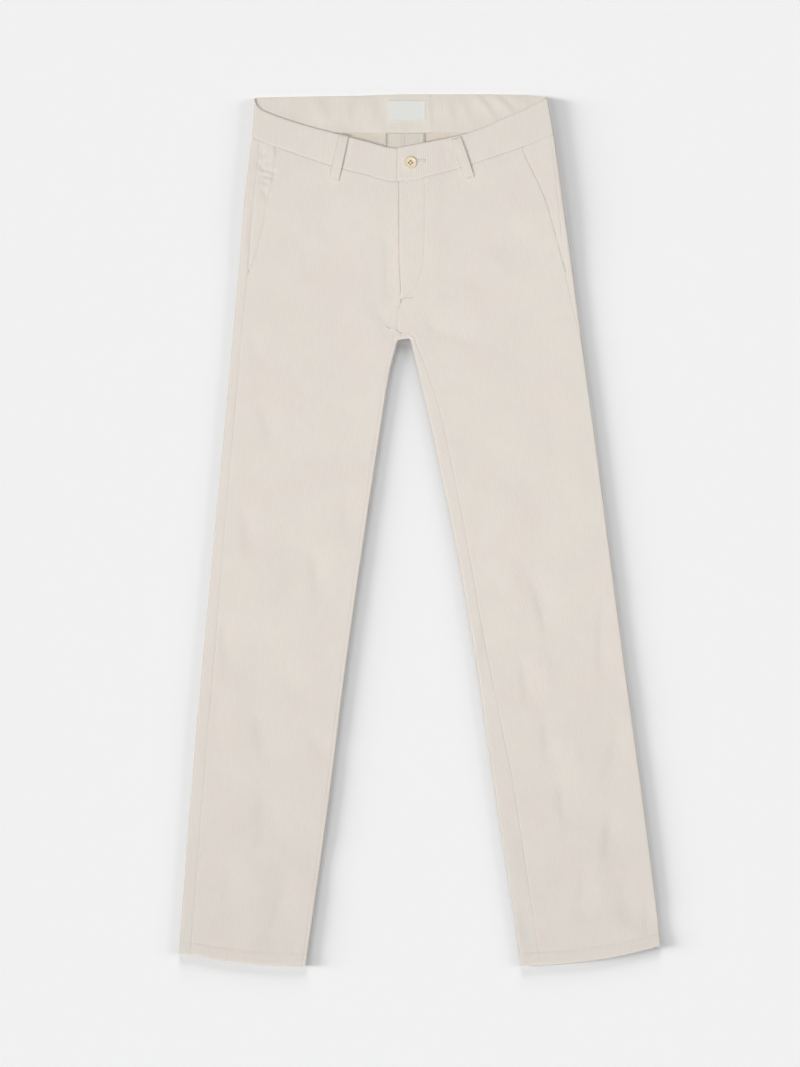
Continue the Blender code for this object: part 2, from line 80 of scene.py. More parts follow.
# Side folds, one row per height: y, x of the fold, how far the side seam lies past it on top
SIDE_FOLD = {
    "right": [
        (563.3, -214.4, 12.5), (520.4, -217.0, 12.5), (442.4, -226.1, 12.5), (338.4, -234.9, 12.5),
        (234.4, -244.3, 13.0), (52.4, -261.2, 14.0), (-103.6, -275.9, 16.0), (-259.6, -290.2, 17.0),
        (-415.6, -302.8, 17.0), (-560.0, -313.8, 17.0),
    ],
    "left": [
        (563.3, 166.5, 5.0), (520.4, 174.3, 5.5), (442.4, 185.4, 7.0), (338.4, 199.7, 10.5),
        (286.4, 206.4, 7.0), (234.4, 213.3, 1.0), (130.4, 227.6, 0.0), (-25.6, 247.8, 0.0),
        (-181.6, 268.3, 0.0), (-337.6, 289.6, 0.0), (-493.6, 309.5, 0.0), (-560.0, 316.5, 0.0),
    ],
}

# Inner folds below the crotch: y, x of the fold, how far the inseam lies past it on top
INNER_FOLD = {
    "right": [
        (242.6, -29.4, 6.0), (208.4, -38.0, 6.5), (130.4, -50.6, 6.5), (-25.6, -74.0, 6.5),
        (-181.6, -96.1, 6.5), (-337.6, -115.6, 6.5), (-566.4, -147.4, 6.5),
    ],
    "left": [
        (242.6, -10.3, 7.5), (208.4, -1.8, 12.5), (130.4, 16.4, 17.5), (52.4, 33.0, 17.5),
        (-25.6, 48.9, 16.5), (-103.6, 62.5, 16.5), (-181.6, 75.5, 18.5), (-259.6, 86.8, 22.5),
        (-337.6, 98.3, 26.5), (-566.4, 133.0, 26.5),
    ],
}

# Waistband, round from the side fold: distance (towards the fly +, towards the seat -),
# y of the waist seam, y of the top edge
WAIST = {
    "right": [
        (230.0, 456.5, 500.0), (190.0, 453.5, 496.8), (148.0, 463.5, 506.2), (109.0, 473.0, 516.5),
        (75.0, 484.5, 525.2), (39.0, 497.0, 536.4), (22.0, 503.0, 542.5), (10.5, 507.5, 547.7),
        (5.0, 509.5, 554.0), (0.0, 511.5, 562.0), (-12.0, 516.0, 563.8), (-35.0, 520.0, 564.2),
        (-98.0, 523.5, 565.5), (-140.0, 523.8, 565.9), (-172.0, 524.0, 567.2), (-203.0, 524.0, 567.9),
    ],
    "left": [
        (206.0, 454.0, 497.3), (191.0, 455.5, 500.2), (160.0, 461.8, 506.2), (126.0, 471.2, 513.5),
        (91.0, 482.5, 525.3), (61.0, 492.8, 538.7), (39.0, 500.6, 547.4), (12.0, 511.5, 558.5),
        (0.0, 515.5, 562.8), (-12.0, 518.5, 564.4), (-40.0, 522.0, 567.0), (-100.0, 523.8, 567.8),
        (-196.0, 524.0, 567.8),
    ],
}
WAIST_SIDE_Y = 515.0        # height at which distances round the waist start from the fold
BAND_LEAN = 60.0            # the slant of the side folds has left the band this far round

# Slanted pocket mouths: y, x of the edge
POCKET_EDGE = {
    "right": [
        (337.0, -223.2), (348.0, -217.0), (361.3, -212.7), (385.2, -207.4), (422.2, -200.7),
        (456.7, -192.8), (502.2, -185.8),
    ],
    "left": [
        (338.7, 190.2), (371.8, 182.3), (398.3, 175.6), (422.2, 169.0), (444.7, 161.1),
        (462.0, 153.0), (489.8, 138.5), (505.0, 133.0),
    ],
}
POCKET_REACH = 28.0         # of the pocket facing behind the mouth
POCKET_SINK = {"right": 3.5, "left": 1.4}       # over which the facing sinks beneath the mouth
# The facing's finest stations, out from the mouth
POCKET_STEPS = [7.0, 5.0, 3.8, 3.2, 2.6, 2.1, 1.6, 1.1, 0.7, 0.3, -0.2, -0.8]

# Centre seams: y, x.  The front one is the crotch seam and, above it, the edge of the fly.
FRONT_CENTRE = [
    (258.0, -29.8), (271.0, -29.0), (286.0, -27.2), (300.0, -23.3), (330.0, -24.5), (360.0, -25.7),
    (455.0, -26.0),
]
BACK_CENTRE = [(251.0, -26.0), (567.0, -17.0)]

# The crotch fold runs from leg to leg, pulled flat at its top, and the four panels meet at one place of it
CROTCH = Vector((-19.9, 240.2))
CROTCH_RADIUS = [           # angle from +X, distance from its middle
    (8.0, 9.7), (14.0, 9.8), (32.0, 10.5), (50.0, 11.6), (58.0, 11.4), (72.0, 9.6), (90.0, 8.8), (108.0, 8.7),
    (122.0, 9.5), (133.0, 10.3), (144.0, 10.2), (155.0, 9.9), (166.0, 9.8), (172.0, 9.7),
]
JUNCTION = 119.0
ARC_SEAM = {                # angle, how far the seam lies past the fold on top
    "right": [(119.0, 12.1), (135.0, 9.5), (150.0, 7.5), (166.0, 6.0)],
    "left": [(14.0, 7.5), (40.0, 8.0), (65.0, 9.0), (90.0, 9.5), (119.0, 12.1)],
}

# grain is how far the wales lean from straight up, in degrees
LEGS = {
    "right": {"toward": 1.0, "hem_tilt": 16.4, "hem_bow": 4.0, "arc_start": 166.0, "arc_rows": 8,
              "arc_step": 4.0, "band_end": 6.0, "grain": -6.5},
    "left": {"toward": -1.0, "hem_tilt": 26.0, "hem_bow": 5.9, "arc_start": 14.0, "arc_rows": 14,
             "arc_step": 3.0, "band_end": -28.5, "grain": 9.5},
}
LEG_TOP = 242.6             # where the crotch arc begins
LEG_BOTTOM = -566.4         # inner corner of each hem
LEG_ROWS = 270
HIP_ROWS = 120
BOW_REACH = 120.0           # height above the hem at which its bow has faded out
HIP_EASE = 0.4              # share of the hip by which the rows have straightened out
ROW_BEND = 4.0              # how sharply the rows turn down to the crotch
EDGE_STEPS = [0.8, 1.7, 2.8, 4.2]       # distances from an edge of its finest rows and columns

# Turned-up hems
HEM_DEPTH = 18.0
HEM_ROLL = 1.3              # radius of the outer face round the bottom edge
HEM_ROWS = 16               # from the bottom edge to a little above the stitching
HEM_TURN = 6                # rows round the bottom edge
HEM_INSIDE = [17.0, 12.0, 7.0, 3.0]     # how far up inside its rows lie

FRONT_COLUMNS = 66
BACK_COLUMNS = 54
ARC_COLUMNS = 12            # round a fold
STRIP_COLUMNS = 3           # from a seam's finest columns to where its fold begins
MIN_STRIP = 5.0
EDGE_STRIP = 5.0

# Fly: the left front and left waistband lap over the right ones
FLY_UNDER_X = -12.0
FLY_BOTTOM = 306.0
LAP_START = 286.0
LAP_DIP = 0.9               # how far the under layer gives way beneath the lap
LAP_DIP_WIDTH = 1.8
LAP_SWELL = {"front": 0.42, "band": 0.15}       # how far it stands up beside it
LAP_STEPS = [10.6, 11.2, 11.8, 12.4, 13.0, 13.5, 14.0, 14.5, 15.0, 15.5, 16.1, 16.8, 17.8]
BAND_LAP_STEPS = [31.0, 32.0, 33.0, 33.6, 34.1, 34.6, 35.1, 35.6, 36.1, 36.8, 38.0]
LAP_FADE = (16.0, 38.0)     # x over which the lap comes back down
FLY_GROOVE = (0.3, 0.9)     # depth and half width of the groove along its stitching
GROOVE_STEPS = [28.2, 29.4, 30.2, 30.8, 31.3, 31.8, 32.3, 32.9, 33.7, 35.0]
SHIELD = {"x": (-46.0, 4.0), "y": (300.0, 452.0)}
FLY_STITCHES = [(6.6, 451.0), (6.4, 400.0), (5.6, 360.0), (2.5, 338.0), (-4.5, 319.0), (-13.0, 307.5),
                (-21.5, 302.0)]

FACING = {"inset": 3.4, "low": 517.5, "below_top": 0.2}
OUTLET = {"waist": 25.4, "crotch": 12.0, "top": 516.8, "bottom": 264.0, "curl": 1.8}
LABEL = {"x": (-41.1, 8.3), "y": (533.8, 559.1)}

LOOP_WIDTH = 12.5
LOOP_ROUNDING = 0.45        # radius of its edges
LOOP_ARCH = 2.2             # a front loop stands this much clear of the band at its middle
FRONT_LOOPS = {             # top centre, bottom centre
    "right": ((-98.0, 513.9), (-111.0, 454.7)),
    "left": ((47.6, 510.6), (65.8, 457.3)),
}
BACK_LOOPS = {"right": -124.0, "centre": -17.2, "left": 90.0}
BACK_LOOP_Y = (565.0, 506.0)

BUTTON = {"x": -11.6, "y": 477.9, "radius": 8.3, "rim": 2.3, "dish": 1.9, "hole": 0.8, "pitch": 3.7}
BUTTONHOLE = {"x": (-13.0, 6.6), "y": 480.9, "side": 1.15}

# Edges: how deep one rolls in, and how deep its puckers are
EDGES = {
    "seam": (0.35, 0.22),
    "waist": (0.4, 0.15),
    "fold": (0.3, 0.1),
    "mouth": (0.0, 0.12),
    "plain": (0.0, 0.0),
}
ROLL_REACH = 2.4
PUCKER_REACH = 5.0
PUCKER_LENGTH = 9.0

# Soft troughs (-) and ridges (+) on top: x, y of one end, x, y of the other, half width, height, bow
CREASES = [
    # right leg
    (-42.8, 392, -42.0, 300, 6, -1.1, 1), (-112, 430, -110, 322, 12, -1.1, -4),
    (-149, 380, -146, 322, 10, -1.1, 3), (-209, 170, -190, 102, 7, -1.2, 3),
    (-96, 180, -112, 60, 17, -1.1, 6), (-70, 250, -150, 200, 11, -0.9, -7),
    (-62, 268, -120, 262, 10, -0.8, -5), (-57, 290, -36, 250, 7, -1.1, 3),
    (-229, 30, -222, -34, 7, -1.4, 2), (-90, 52, -96, -12, 8, -1.1, -2),
    (-139, -22, -134, -108, 8, -1.7, 4), (-205, -8, -196, -150, 22, 1.5, 6),
    (-257, -110, -252, -190, 7, -1.2, 3), (-264, -200, -270, -300, 8, -1.1, 4),
    (-208, -232, -198, -308, 8, -1.4, -3), (-196, -318, -200, -420, 10, -1.7, -5),
    (-143, -258, -120, -310, 10, -1.1, 2), (-232, -180, -240, -330, 18, 1.2, -6),
    (-168, -440, -210, -560, 10, -2.3, 6), (-196, -430, -236, -545, 11, 1.1, 6),
    (-242, -420, -262, -530, 10, -1.2, 4), (-232, -385, -228, -450, 11, 0.8, 2),
    (-132, -400, -150, -470, 10, -0.9, 3), (-168, -180, -150, -236, 10, -0.9, -3),
    # left leg
    (95, -44, 101, -96, 7, -1.2, -3), (146, -56, 166, -146, 8, -2.0, 4), (89, -100, 88, -165, 7, -1.3, -3),
    (118, -30, 126, -110, 11, 1.1, 3), (132, -160, 141, -236, 8, -1.7, 3), (158, -150, 166, -220, 10, 1.1, 3),
    (163, -238, 169, -308, 7, -1.5, 0), (111, -192, 130, -268, 6, -1.1, -2), (180, -316, 190, -392, 7, -1.4, 2),
    (196, -250, 204, -330, 11, 0.9, 3), (126, -375, 134, -452, 7, -1.2, 3), (133, -480, 141, -556, 7, -1.4, 2),
    (240, -84, 237, -196, 7, -1.5, -2), (262, -240, 236, -345, 8, -1.6, 4), (254, -360, 246, -432, 8, -1.5, -3),
    (234, -370, 236, -500, 14, 1.6, -6), (216, -430, 204, -510, 8, -1.5, 4), (236, -490, 286, -545, 11, 0.9, 5),
    (299, -480, 300, -556, 7, -1.8, -2), (266, -440, 270, -520, 10, -1.1, 2), (222, -200, 226, -330, 17, 1.1, -6),
    (120, 60, 134, -40, 17, 1.1, 5), (130, 404, 96, 352, 16, -1.1, 4), (8, 288, 32, 246, 7, -1.1, -3),
    (20, 262, 90, 232, 11, -0.9, 6), (60, 330, 74, 250, 12, 0.8, 4), (0, 420, -4, 330, 8, -0.8, 2),
    (166, 180, 176, 60, 12, -0.8, 5), (196, 120, 204, 20, 11, 0.7, 4),
    # puckers where the right pocket meets the waist
    (-203.5, 499, -206.5, 482, 2.0, -0.9, 0.5), (-207, 474.5, -193, 479, 2.2, -0.8, 0.6),
    (-210, 470.5, -198, 467.5, 1.8, -1.2, 0.4), (-198, 467.5, -184, 463.5, 1.8, -1.5, -0.4),
    (-207, 461.5, -186, 457, 1.8, -1.7, 0.8), (-208, 465.8, -190, 462.4, 1.8, 0.8, 0.4),
    (-212, 480, -204, 471, 1.9, -0.9, 0.3), (-190, 500, -186, 484, 2.2, 0.8, -0.8),
    (-210, 454, -195, 451, 2.2, -0.7, 0.5), (-205, 446, -197, 428, 3.0, -1.0, 0.5),
    (-215, 262, -206, 210, 8, -1.0, -2), (-216.6, 436, -223.6, 332, 1.7, -0.8, 0),
    # waistband
    (31, 505, 34, 480, 2.6, -0.7, 0), (41, 503, 51, 474, 3.2, -0.6, 1), (36, 500, 42, 478, 2.4, 0.4, 0),
    (-150, 500, -146, 476, 5.0, -0.4, 1), (96, 505, 100, 482, 5.0, -0.4, -1),
]
# The same on the underside, where troughs go in and nothing stands out
CREASES_BELOW = [
    (-40, 300, -150, 330, 9, -1.4, -9), (-38, 280, -160, 272, 11, -1.5, -11),
    (-46, 262, -140, 220, 9, -1.2, -8), (-10, 300, 100, 328, 9, -1.4, 9),
    (-12, 280, 118, 270, 11, -1.5, 11), (-4, 258, 100, 214, 9, -1.2, 8),
    (-200, 300, -120, 350, 12, -0.9, 6), (170, 300, 80, 356, 12, -0.9, -6),
    (-96, -10, -230, 18, 10, -1.3, -9), (-104, -40, -242, -36, 8, -1.0, 5),
    (-108, -86, -246, -60, 10, -1.2, 8), (-120, -150, -232, -128, 9, -0.8, -6),
    (70, -4, 206, 24, 10, -1.3, 9), (78, -42, 216, -30, 8, -1.0, -5),
    (88, -92, 224, -62, 10, -1.2, -8), (110, -160, 214, -126, 9, -0.8, 6),
    (-150, 180, -172, 60, 14, -0.9, 6), (108, 180, 128, 50, 14, -0.9, -6),
    (-206, -230, -216, -340, 11, -1.0, 4), (180, -220, 196, -350, 11, -1.0, -4),
    (-196, -400, -236, -500, 9, -0.8, 5), (210, -410, 258, -505, 9, -0.8, -5),
    (-130, -330, -144, -430, 8, -0.9, 3), (128, -340, 146, -430, 8, -0.9, -3),
    (-60, 460, -66, 400, 8, -0.6, 2), (40, 465, 52, 395, 8, -0.6, -2),
    (-150, 480, -160, 410, 10, -0.6, 3), (110, 480, 122, 405, 10, -0.6, -3),
]
# The same inside the waist, where only ridges have room
CREASES_INSIDE = [
    (-42.6, 572, -42.4, 470, 0.9, -0.28, 0), (8.4, 572, 15.4, 516, 1.0, -0.26, 1),
    (9.5, 578, 14.5, 514, 2.6, 1.4, 1), (-60, 564, -66, 518, 6, 1.0, 1), (-130, 562, -120, 530, 6, 1.1, -1),
    (70, 570, 100, 530, 3.6, 1.4, 2), (90, 571, 126, 536, 3.6, 1.4, 2), (38, 564, 44, 518, 6, 1.1, -1),
    (116, 570, 150, 544, 5, 1.0, 1), (-98, 566, -90, 526, 5, 0.8, 1), (52, 566, 66, 524, 5, 0.9, 1),
    (-30, 512, -22, 498, 9, 0.5, 0), (-4, 512, -2, 494, 7, 0.35, 0), (-70, 514, -52, 500, 6, 0.3, 0),
]

# Sizes that the patterns are drawn at
STREAK = (1.6, 26.0)        # nap streaks, across and along the wales
CLOUD = 60.0                # where the nap lies another way and the tone shifts
PATCH = 90.0                # where the dye has taken differently
FUZZ = 0.9                  # tufts of the pile; real ones are about 0.3, too fine to show
THREAD_PITCH = 1.1          # plain back; real threads are 0.45 apart, too fine to show
TAPE_RIB = 0.8              # satin tape; real ribs are 0.4 apart
PLY = 0.5                   # twist of sewing thread

PICTURE = (800, 1067)       # width and height of the picture, in pixels
PIXEL = 1.3                 # real size of one pixel of the framing, in mm
FRAMED = (-25.25, -3.6)     # centre of the framing
SENSOR = 36.0
surfaces = {}               # outer faces that stitches are laid on


def linear(code):
    """Linear colour of an sRGB hex value."""
    parts = [int(code[index:index + 2], 16) / 255.0 for index in (1, 3, 5)]
    return tuple(part / 12.92 if part <= 0.04045 else ((part + 0.055) / 1.055) ** 2.4 for part in parts)


# Settings

def colour_setting(name, description, code):
    return FloatVectorProperty(name=name, description=description, subtype='COLOR', size=3, min=0.0, max=1.0,
                               default=linear(code))


class TROUSERS_PG_cloth(bpy.types.PropertyGroup):
    """The corduroy."""
    wale_width: FloatProperty(
        name="Wale width", description="Width of one wale, from groove to groove", default=0.003, min=0.001,
        max=0.01, unit='LENGTH', precision=4)
    wale_depth: FloatProperty(
        name="Wale depth", description="Depth of the grooves between wales", default=0.00009, min=0.0,
        max=0.001, unit='LENGTH', precision=5)
    crease_depth: FloatProperty(
        name="Crease depth", description="Depth of the soft creases, as a share of their own", default=1.0,
        min=0.0, max=1.5, subtype='FACTOR')
    pucker_depth: FloatProperty(
        name="Pucker depth", description="Depth of the puckers along seams, as a share of their own",
        default=1.0, min=0.0, max=2.0, subtype='FACTOR')
    face: colour_setting("Face", "Colour of the corduroy's ribbed face", "#E6E0D7")
    back: colour_setting("Back", "Colour of the corduroy's plain back", "#E2D8CB")
    # The pressed face colour is the face colour made darker for the seat outlets deep inside the waist: painted
    # shade.
    pressed: colour_setting("Shaded face", "Colour of the corduroy where its pile is pressed flat, inside the seat",
                            "#DFD9CE")
    facing: colour_setting("Facing", "Colour of the cotton twill inside the waist", "#E7E0D6")


class TROUSERS_PG_trims(bpy.types.PropertyGroup):
    """Thread, label and button."""
    stitch_length: FloatProperty(
        name="Stitch length", description="Length of one stitch with its gap", default=0.0032, min=0.001,
        max=0.01, unit='LENGTH', precision=4)
    thread_width: FloatProperty(
        name="Thread width", description="Width of the sewing thread", default=0.0006, min=0.0002,
        max=0.002, unit='LENGTH', precision=4)
    thread: colour_setting("Thread", "Colour of the sewing thread", "#E4DDD2")
    # The overlock thread's dark colour is partly its own and partly painted shade along the free edges of the seat
    # outlets.
    overlock: colour_setting("Overlock thread", "Colour of the thread round the seam allowances", "#B4AC9E")
    button_thread: colour_setting("Button thread", "Colour of the thread that holds the button", "#7A5C38")
    label: colour_setting("Label", "Colour of the bare label", "#EAEAE6")
    button: colour_setting("Button", "Colour of the button", "#ECDAB9")


class TROUSERS_PG_stage(bpy.types.PropertyGroup):
    """Floor, lights and camera."""
    floor: colour_setting("Floor", "Colour of the floor", "#F2F2F2")
    floor_size: FloatProperty(
        name="Floor size", description="Length of the floor's side", default=40.0, min=2.0, max=50.0,
        unit='LENGTH')
    lens: FloatProperty(
        name="Focal length", description="Focal length of the camera", default=100.0, min=20.0, max=300.0,
        unit='CAMERA')
    power: FloatProperty(
        name="Light power", description="Strength of all the soft lights together", default=3.2, min=0.0,
        max=20.0)
    fill: FloatProperty(
        name="Fill", description="Brightness of the surrounding light", default=0.03, min=0.0, max=5.0)


# Curves and tables

def read(table, column, at):
    """Smooth curve through one column of a table, against its first column, with no overshoot."""
    rows = sorted(table)
    keys = [row[0] for row in rows]
    values = [row[column] for row in rows]
    last = len(rows) - 1
    cell = min(max(bisect.bisect_right(keys, at) - 1, 0), last - 1)

    def secant(index):
        return (values[index + 1] - values[index]) / (keys[index + 1] - keys[index])

    def slope(index):
        if index in (0, last):
            return secant(min(index, last - 1))
        before, after = secant(index - 1), secant(index)
        return 2.0 * before * after / (before + after) if before * after > 0.0 else 0.0

    span = keys[cell + 1] - keys[cell]
    t = (at - keys[cell]) / span
    if t < 0.0 or t > 1.0:
        edge = 0 if t < 0.0 else last
        return values[edge] + slope(edge) * (at - keys[edge])
    rise = values[cell + 1] - values[cell]
    start, end = slope(cell) * span, slope(cell + 1) * span
    return values[cell] + t * (start + t * (3.0 * rise - 2.0 * start - end + t * (start + end - 2.0 * rise)))


def mix(start, end, share):
    return start + (end - start) * share


def ease(start, end, value):
    """0 at start, 1 at end, level at both. Takes a number or an array."""
    t = np.clip((value - start) / (end - start), 0.0, 1.0)
    return t * t * (3.0 - 2.0 * t)


def spread(start, end, count):
    """count + 1 evenly spaced values."""
    return [mix(start, end, index / count) for index in range(count + 1)]


def unit(vectors):
    """Vectors along the last axis of an array, made one long."""
    return vectors / np.maximum(np.linalg.norm(vectors, axis=-1, keepdims=True), 1e-9)


def ripple(along, length, seed):
    """Uneven wave along an edge, about -1 to 1."""
    turn = math.tau * along / length
    return (0.5 * np.sin(turn + 1.7 * seed) + 0.35 * np.sin(turn * 1.62 + 2.9 * seed) +
            0.3 * np.sin(turn * 0.37 + 4.1 * seed))


def creases(x, y, table):
    """Height of the soft creases in a table, at arrays of places.

    Each crease is steep on one side, and runs out on the other.
    """
    total = np.zeros_like(x)
    for x0, y0, x1, y1, half_width, tall, bow in table:
        run_x, run_y = x1 - x0, y1 - y0
        length = math.hypot(run_x, run_y)
        share = np.clip(((x - x0) * run_x + (y - y0) * run_y) / length ** 2, 0.0, 1.0)
        side = ((x - x0) * -run_y + (y - y0) * run_x) / length - bow * 4.0 * share * (1.0 - share)
        along = 1.0 - (2.0 * share - 1.0) ** 2
        reach = half_width * np.where(side * tall > 0.0, 1.0, 2.2)
        total += tall * along * np.exp(-(side / reach) ** 2)
    return total


# The garment's surface

def underside(y):
    return BACK_LIFT * ease(RISE_START, RISE_END, y)


def height(y):
    return mix(LEG_HEIGHT, WAIST_HEIGHT, ease(RISE_START, RISE_END, y))


def topside(y):
    return underside(y) + height(y)


def quarter(y):
    """Length of cloth from the middle of a fold to where it lies flat."""
    return math.pi / 4.0 * height(y)


def fold_spot(edge, outward, around, back):
    """A spot of the outer face, a distance past a fold: over the top +, beneath -, and its place on the cut."""
    radius = height(edge.y) / 2.0
    bend = quarter(edge.y)
    if abs(around) <= bend:
        angle = around / radius
        inset = radius * (1.0 - math.cos(angle))
        z = radius * (1.0 + math.sin(angle))
    else:
        inset = radius + abs(around) - bend
        z = 2.0 * radius if around > 0.0 else 0.0
    away = outward.normalized()
    place = edge - away * inset
    cut = edge + away * (around + bend - radius) * (1.0 if back else -1.0)
    if not back:
        cut += away * 2.0 * (bend - radius)
    return (place.x, place.y, underside(edge.y) + z), (cut.x, cut.y)


def past_fold(inset, y):
    """Distance round from a fold to a point on top that lies inset from it in plan."""
    return inset - height(y) / 2.0 + quarter(y)


def inner_frame(leg, y):
    """Fold, outward direction and seam distance at the inside of a leg."""
    table = INNER_FOLD[leg]
    toward = LEGS[leg]["toward"]
    slope = (read(table, 1, y + 1.0) - read(table, 1, y - 1.0)) / 2.0
    return {"edge": Vector((read(table, 1, y), y)), "out": Vector((toward, -toward * slope)),
            "seam": read(table, 2, y)}


def arc_frame(leg, angle):
    """The same on the crotch arc."""
    before, edge, after = (crotch_edge(angle + turn) for turn in (-4.0, 0.0, 4.0))
    along = (after - before).normalized()
    return {"edge": edge, "out": Vector((-along.y, along.x)), "seam": read(ARC_SEAM[leg], 1, angle)}


def crotch_edge(angle):
    turn = math.radians(angle)
    return CROTCH + Vector((math.cos(turn), math.sin(turn))) * read(CROTCH_RADIUS, 1, angle)


def leg_rows(leg):
    """One entry per row: where it meets the side fold and the inside, and how far up the hip it is."""
    size = LEGS[leg]
    toward = size["toward"]
    rows = []
    low = LEG_BOTTOM + HEM_ROLL
    above_hem = LEG_BOTTOM + HEM_DEPTH + 6.0
    heights = spread(low, above_hem, HEM_ROWS) + spread(above_hem, LEG_TOP, LEG_ROWS)[1:]
    for y in heights:
        tilt = size["hem_tilt"] * (LEG_TOP - y) / (LEG_TOP - LEG_BOTTOM)
        bow = size["hem_bow"] * max(0.0, 1.0 - (y - LEG_BOTTOM) / BOW_REACH)
        rows.append({"side_y": y + tilt, "rise": 0.0, "bow": bow, "inner": inner_frame(leg, y), "bend": 0.0})
    parted = toward * math.degrees(SEAM_GAP / 2.0 / read(CROTCH_RADIUS, 1, JUNCTION))
    angles = spread(size["arc_start"], JUNCTION + parted, size["arc_rows"])[1:]
    for count, angle in enumerate(angles, start=1):
        rows.append({"side_y": LEG_TOP + size["arc_step"] * count, "rise": 0.0, "bow": 0.0,
                     "inner": arc_frame(leg, angle), "bend": ROW_BEND})
    base = rows[-1]["side_y"]
    waist_y = read(WAIST[leg], 1, 0.0) - WAIST_GAP / 2.0
    fine = [1.0 - step / (waist_y - base) for step in EDGE_STEPS[::-1]]
    for rise in spread(0.0, fine[0], HIP_ROWS)[1:] + fine[1:] + [1.0]:
        rows.append({"side_y": mix(base, waist_y, rise), "rise": rise, "bow": 0.0, "inner": None,
                     "bend": ROW_BEND * (1.0 - ease(0.0, HIP_EASE, rise))})
    return rows


def side_spot(leg, row, around, back):
    """Outer face near the side fold, on one row."""
    toward = LEGS[leg]["toward"]
    y = row["side_y"] + row["rise"] * (read(WAIST[leg], 1, around) - read(WAIST[leg], 1, 0.0))
    table = SIDE_FOLD[leg]
    slope = (read(table, 1, y + 1.0) - read(table, 1, y - 1.0)) / 2.0 * (1.0 - row["rise"])
    x = mix(read(table, 1, y), band_fold(leg, around, y), row["rise"])
    return fold_spot(Vector((x, y)), Vector((-toward, toward * slope)), around, back)


def band_fold(leg, around, y):
    """x from which distances round the waist are taken: the side fold's own, and upright further round."""
    table = SIDE_FOLD[leg]
    return mix(read(table, 1, WAIST_SIDE_Y), read(table, 1, y), max(0.0, 1.0 - abs(around) / BAND_LEAN))


def side_seam(leg, y):
    return read(SIDE_FOLD[leg], 2, y)


def waist_around(leg, x, sign=1.0):
    """Distance round the waist from the side fold to a place x, on top, or beneath with a sign of -1."""
    around = past_fold(abs(x - read(SIDE_FOLD[leg], 1, WAIST_SIDE_Y)), WAIST_SIDE_Y)
    if around < BAND_LEAN:
        for _ in range(3):
            y = read(WAIST[leg], 1, sign * around)
            around = past_fold(abs(x - band_fold(leg, around, y)), WAIST_SIDE_Y)
    return around


def across(leg, row, start, end, share, under):
    """A spot between the side and the inside of a row, on the flat."""
    eased = share ** (1.0 + row["bend"])
    x = mix(start[0], end[0], share)
    y = mix(start[1], end[1], eased) - row["bow"] * 4.0 * share * (1.0 - share)
    if row["rise"]:
        sign = -1.0 if under else 1.0
        ends = [read(WAIST[leg], 1, sign * waist_around(leg, at[0], sign)) for at in (start, end)]
        curve = read(WAIST[leg], 1, sign * waist_around(leg, x, sign)) - mix(ends[0], ends[1], share)
        y += row["rise"] * curve
    return (x, y, underside(y) if under else topside(y)), (x, y)


def half_gap(seam, y):
    """Half the gap between the panels at a seam, by where it lies round the fold."""
    return mix(FOLD_SEAM_GAP, SEAM_GAP, ease(0.0, quarter(y), abs(seam))) / 2.0


# Panels

def shares_to_edge(start, end, count, steps=()):
    """Shares of the way across, even and then finer up to the edge. steps are more fine ones, out from it."""
    length = math.hypot(end[0] - start[0], end[1] - start[1])
    fine = [1.0 - step / length for step in (*EDGE_STEPS, *steps)][::-1]
    return spread(0.0, fine[0], count)[1:] + fine[1:] + [1.0]


def back_stations(seam, y):
    """Distances from the edge of a back at its seam, round the fold and to the flat beneath."""
    edge = seam - half_gap(seam, y)
    start = min(quarter(y), edge - MIN_STRIP)
    fine = [edge] + [edge - step for step in EDGE_STEPS]
    end = min(-quarter(y), start - MIN_STRIP / 2.0)
    return fine + spread(fine[-1], start, STRIP_COLUMNS)[1:] + spread(start, end, ARC_COLUMNS)[1:]


def front_stations(edge, y):
    """Distances from the side edge of a front to where it lies flat."""
    fine = [edge] + [edge + step for step in EDGE_STEPS]
    return fine + spread(fine[-1], max(edge, quarter(y)) + EDGE_STRIP, STRIP_COLUMNS)[1:]


def back_grid(leg, rows):
    """Spots of a back panel: over the side fold, across beneath, and up round the inner fold."""
    toward = LEGS[leg]["toward"]
    grid = []
    for row in rows:
        y = row["side_y"]
        line = [side_spot(leg, row, around, True) for around in back_stations(side_seam(leg, y), y)]
        inner = row["inner"]
        if inner:
            stations = back_stations(inner["seam"], inner["edge"].y)[::-1]
            rounds = [fold_spot(inner["edge"], inner["out"], around, True) for around in stations]
            end = rounds[0][0]
            shares = spread(0.0, 1.0, BACK_COLUMNS + len(EDGE_STEPS))[1:]
        else:
            rounds = []
            low = mix(BACK_CENTRE[0][0], read(WAIST[leg], 1, -waist_around(leg, BACK_CENTRE[1][1])) -
                      WAIST_GAP / 2.0, row["rise"])
            end = (read(BACK_CENTRE, 1, low) - toward * SEAM_GAP / 2.0, low)
            shares = shares_to_edge(line[-1][0], end, BACK_COLUMNS)
        start = line[-1][0]
        line += [across(leg, row, start, end, share, True) for share in shares]
        grid.append(line + rounds[1:])
    return grid


def front_edge(leg, y, rise):
    """How far past the side fold a front panel starts: at the side seam, or at the pocket mouth."""
    pocket = POCKET_EDGE[leg]
    seam = side_seam(leg, y) + half_gap(side_seam(leg, y), y)
    if y <= pocket[0][0]:
        return seam
    waist = WAIST[leg]
    mouth, at = 0.0, y
    for _ in range(4):
        mouth = past_fold(abs(read(pocket, 1, at) - read(SIDE_FOLD[leg], 1, at)), at)
        at = y + rise * (read(waist, 1, mouth) - read(waist, 1, 0.0))
    return max(seam, mouth)


def lap_lift(x, y, layer):
    """How far a left piece stands over the right one that it laps."""
    return (layer + LAYER_GAP - LAP_DIP) * (1.0 - ease(LAP_FADE[0], LAP_FADE[1], x)) * ease(LAP_START, FLY_BOTTOM, y)


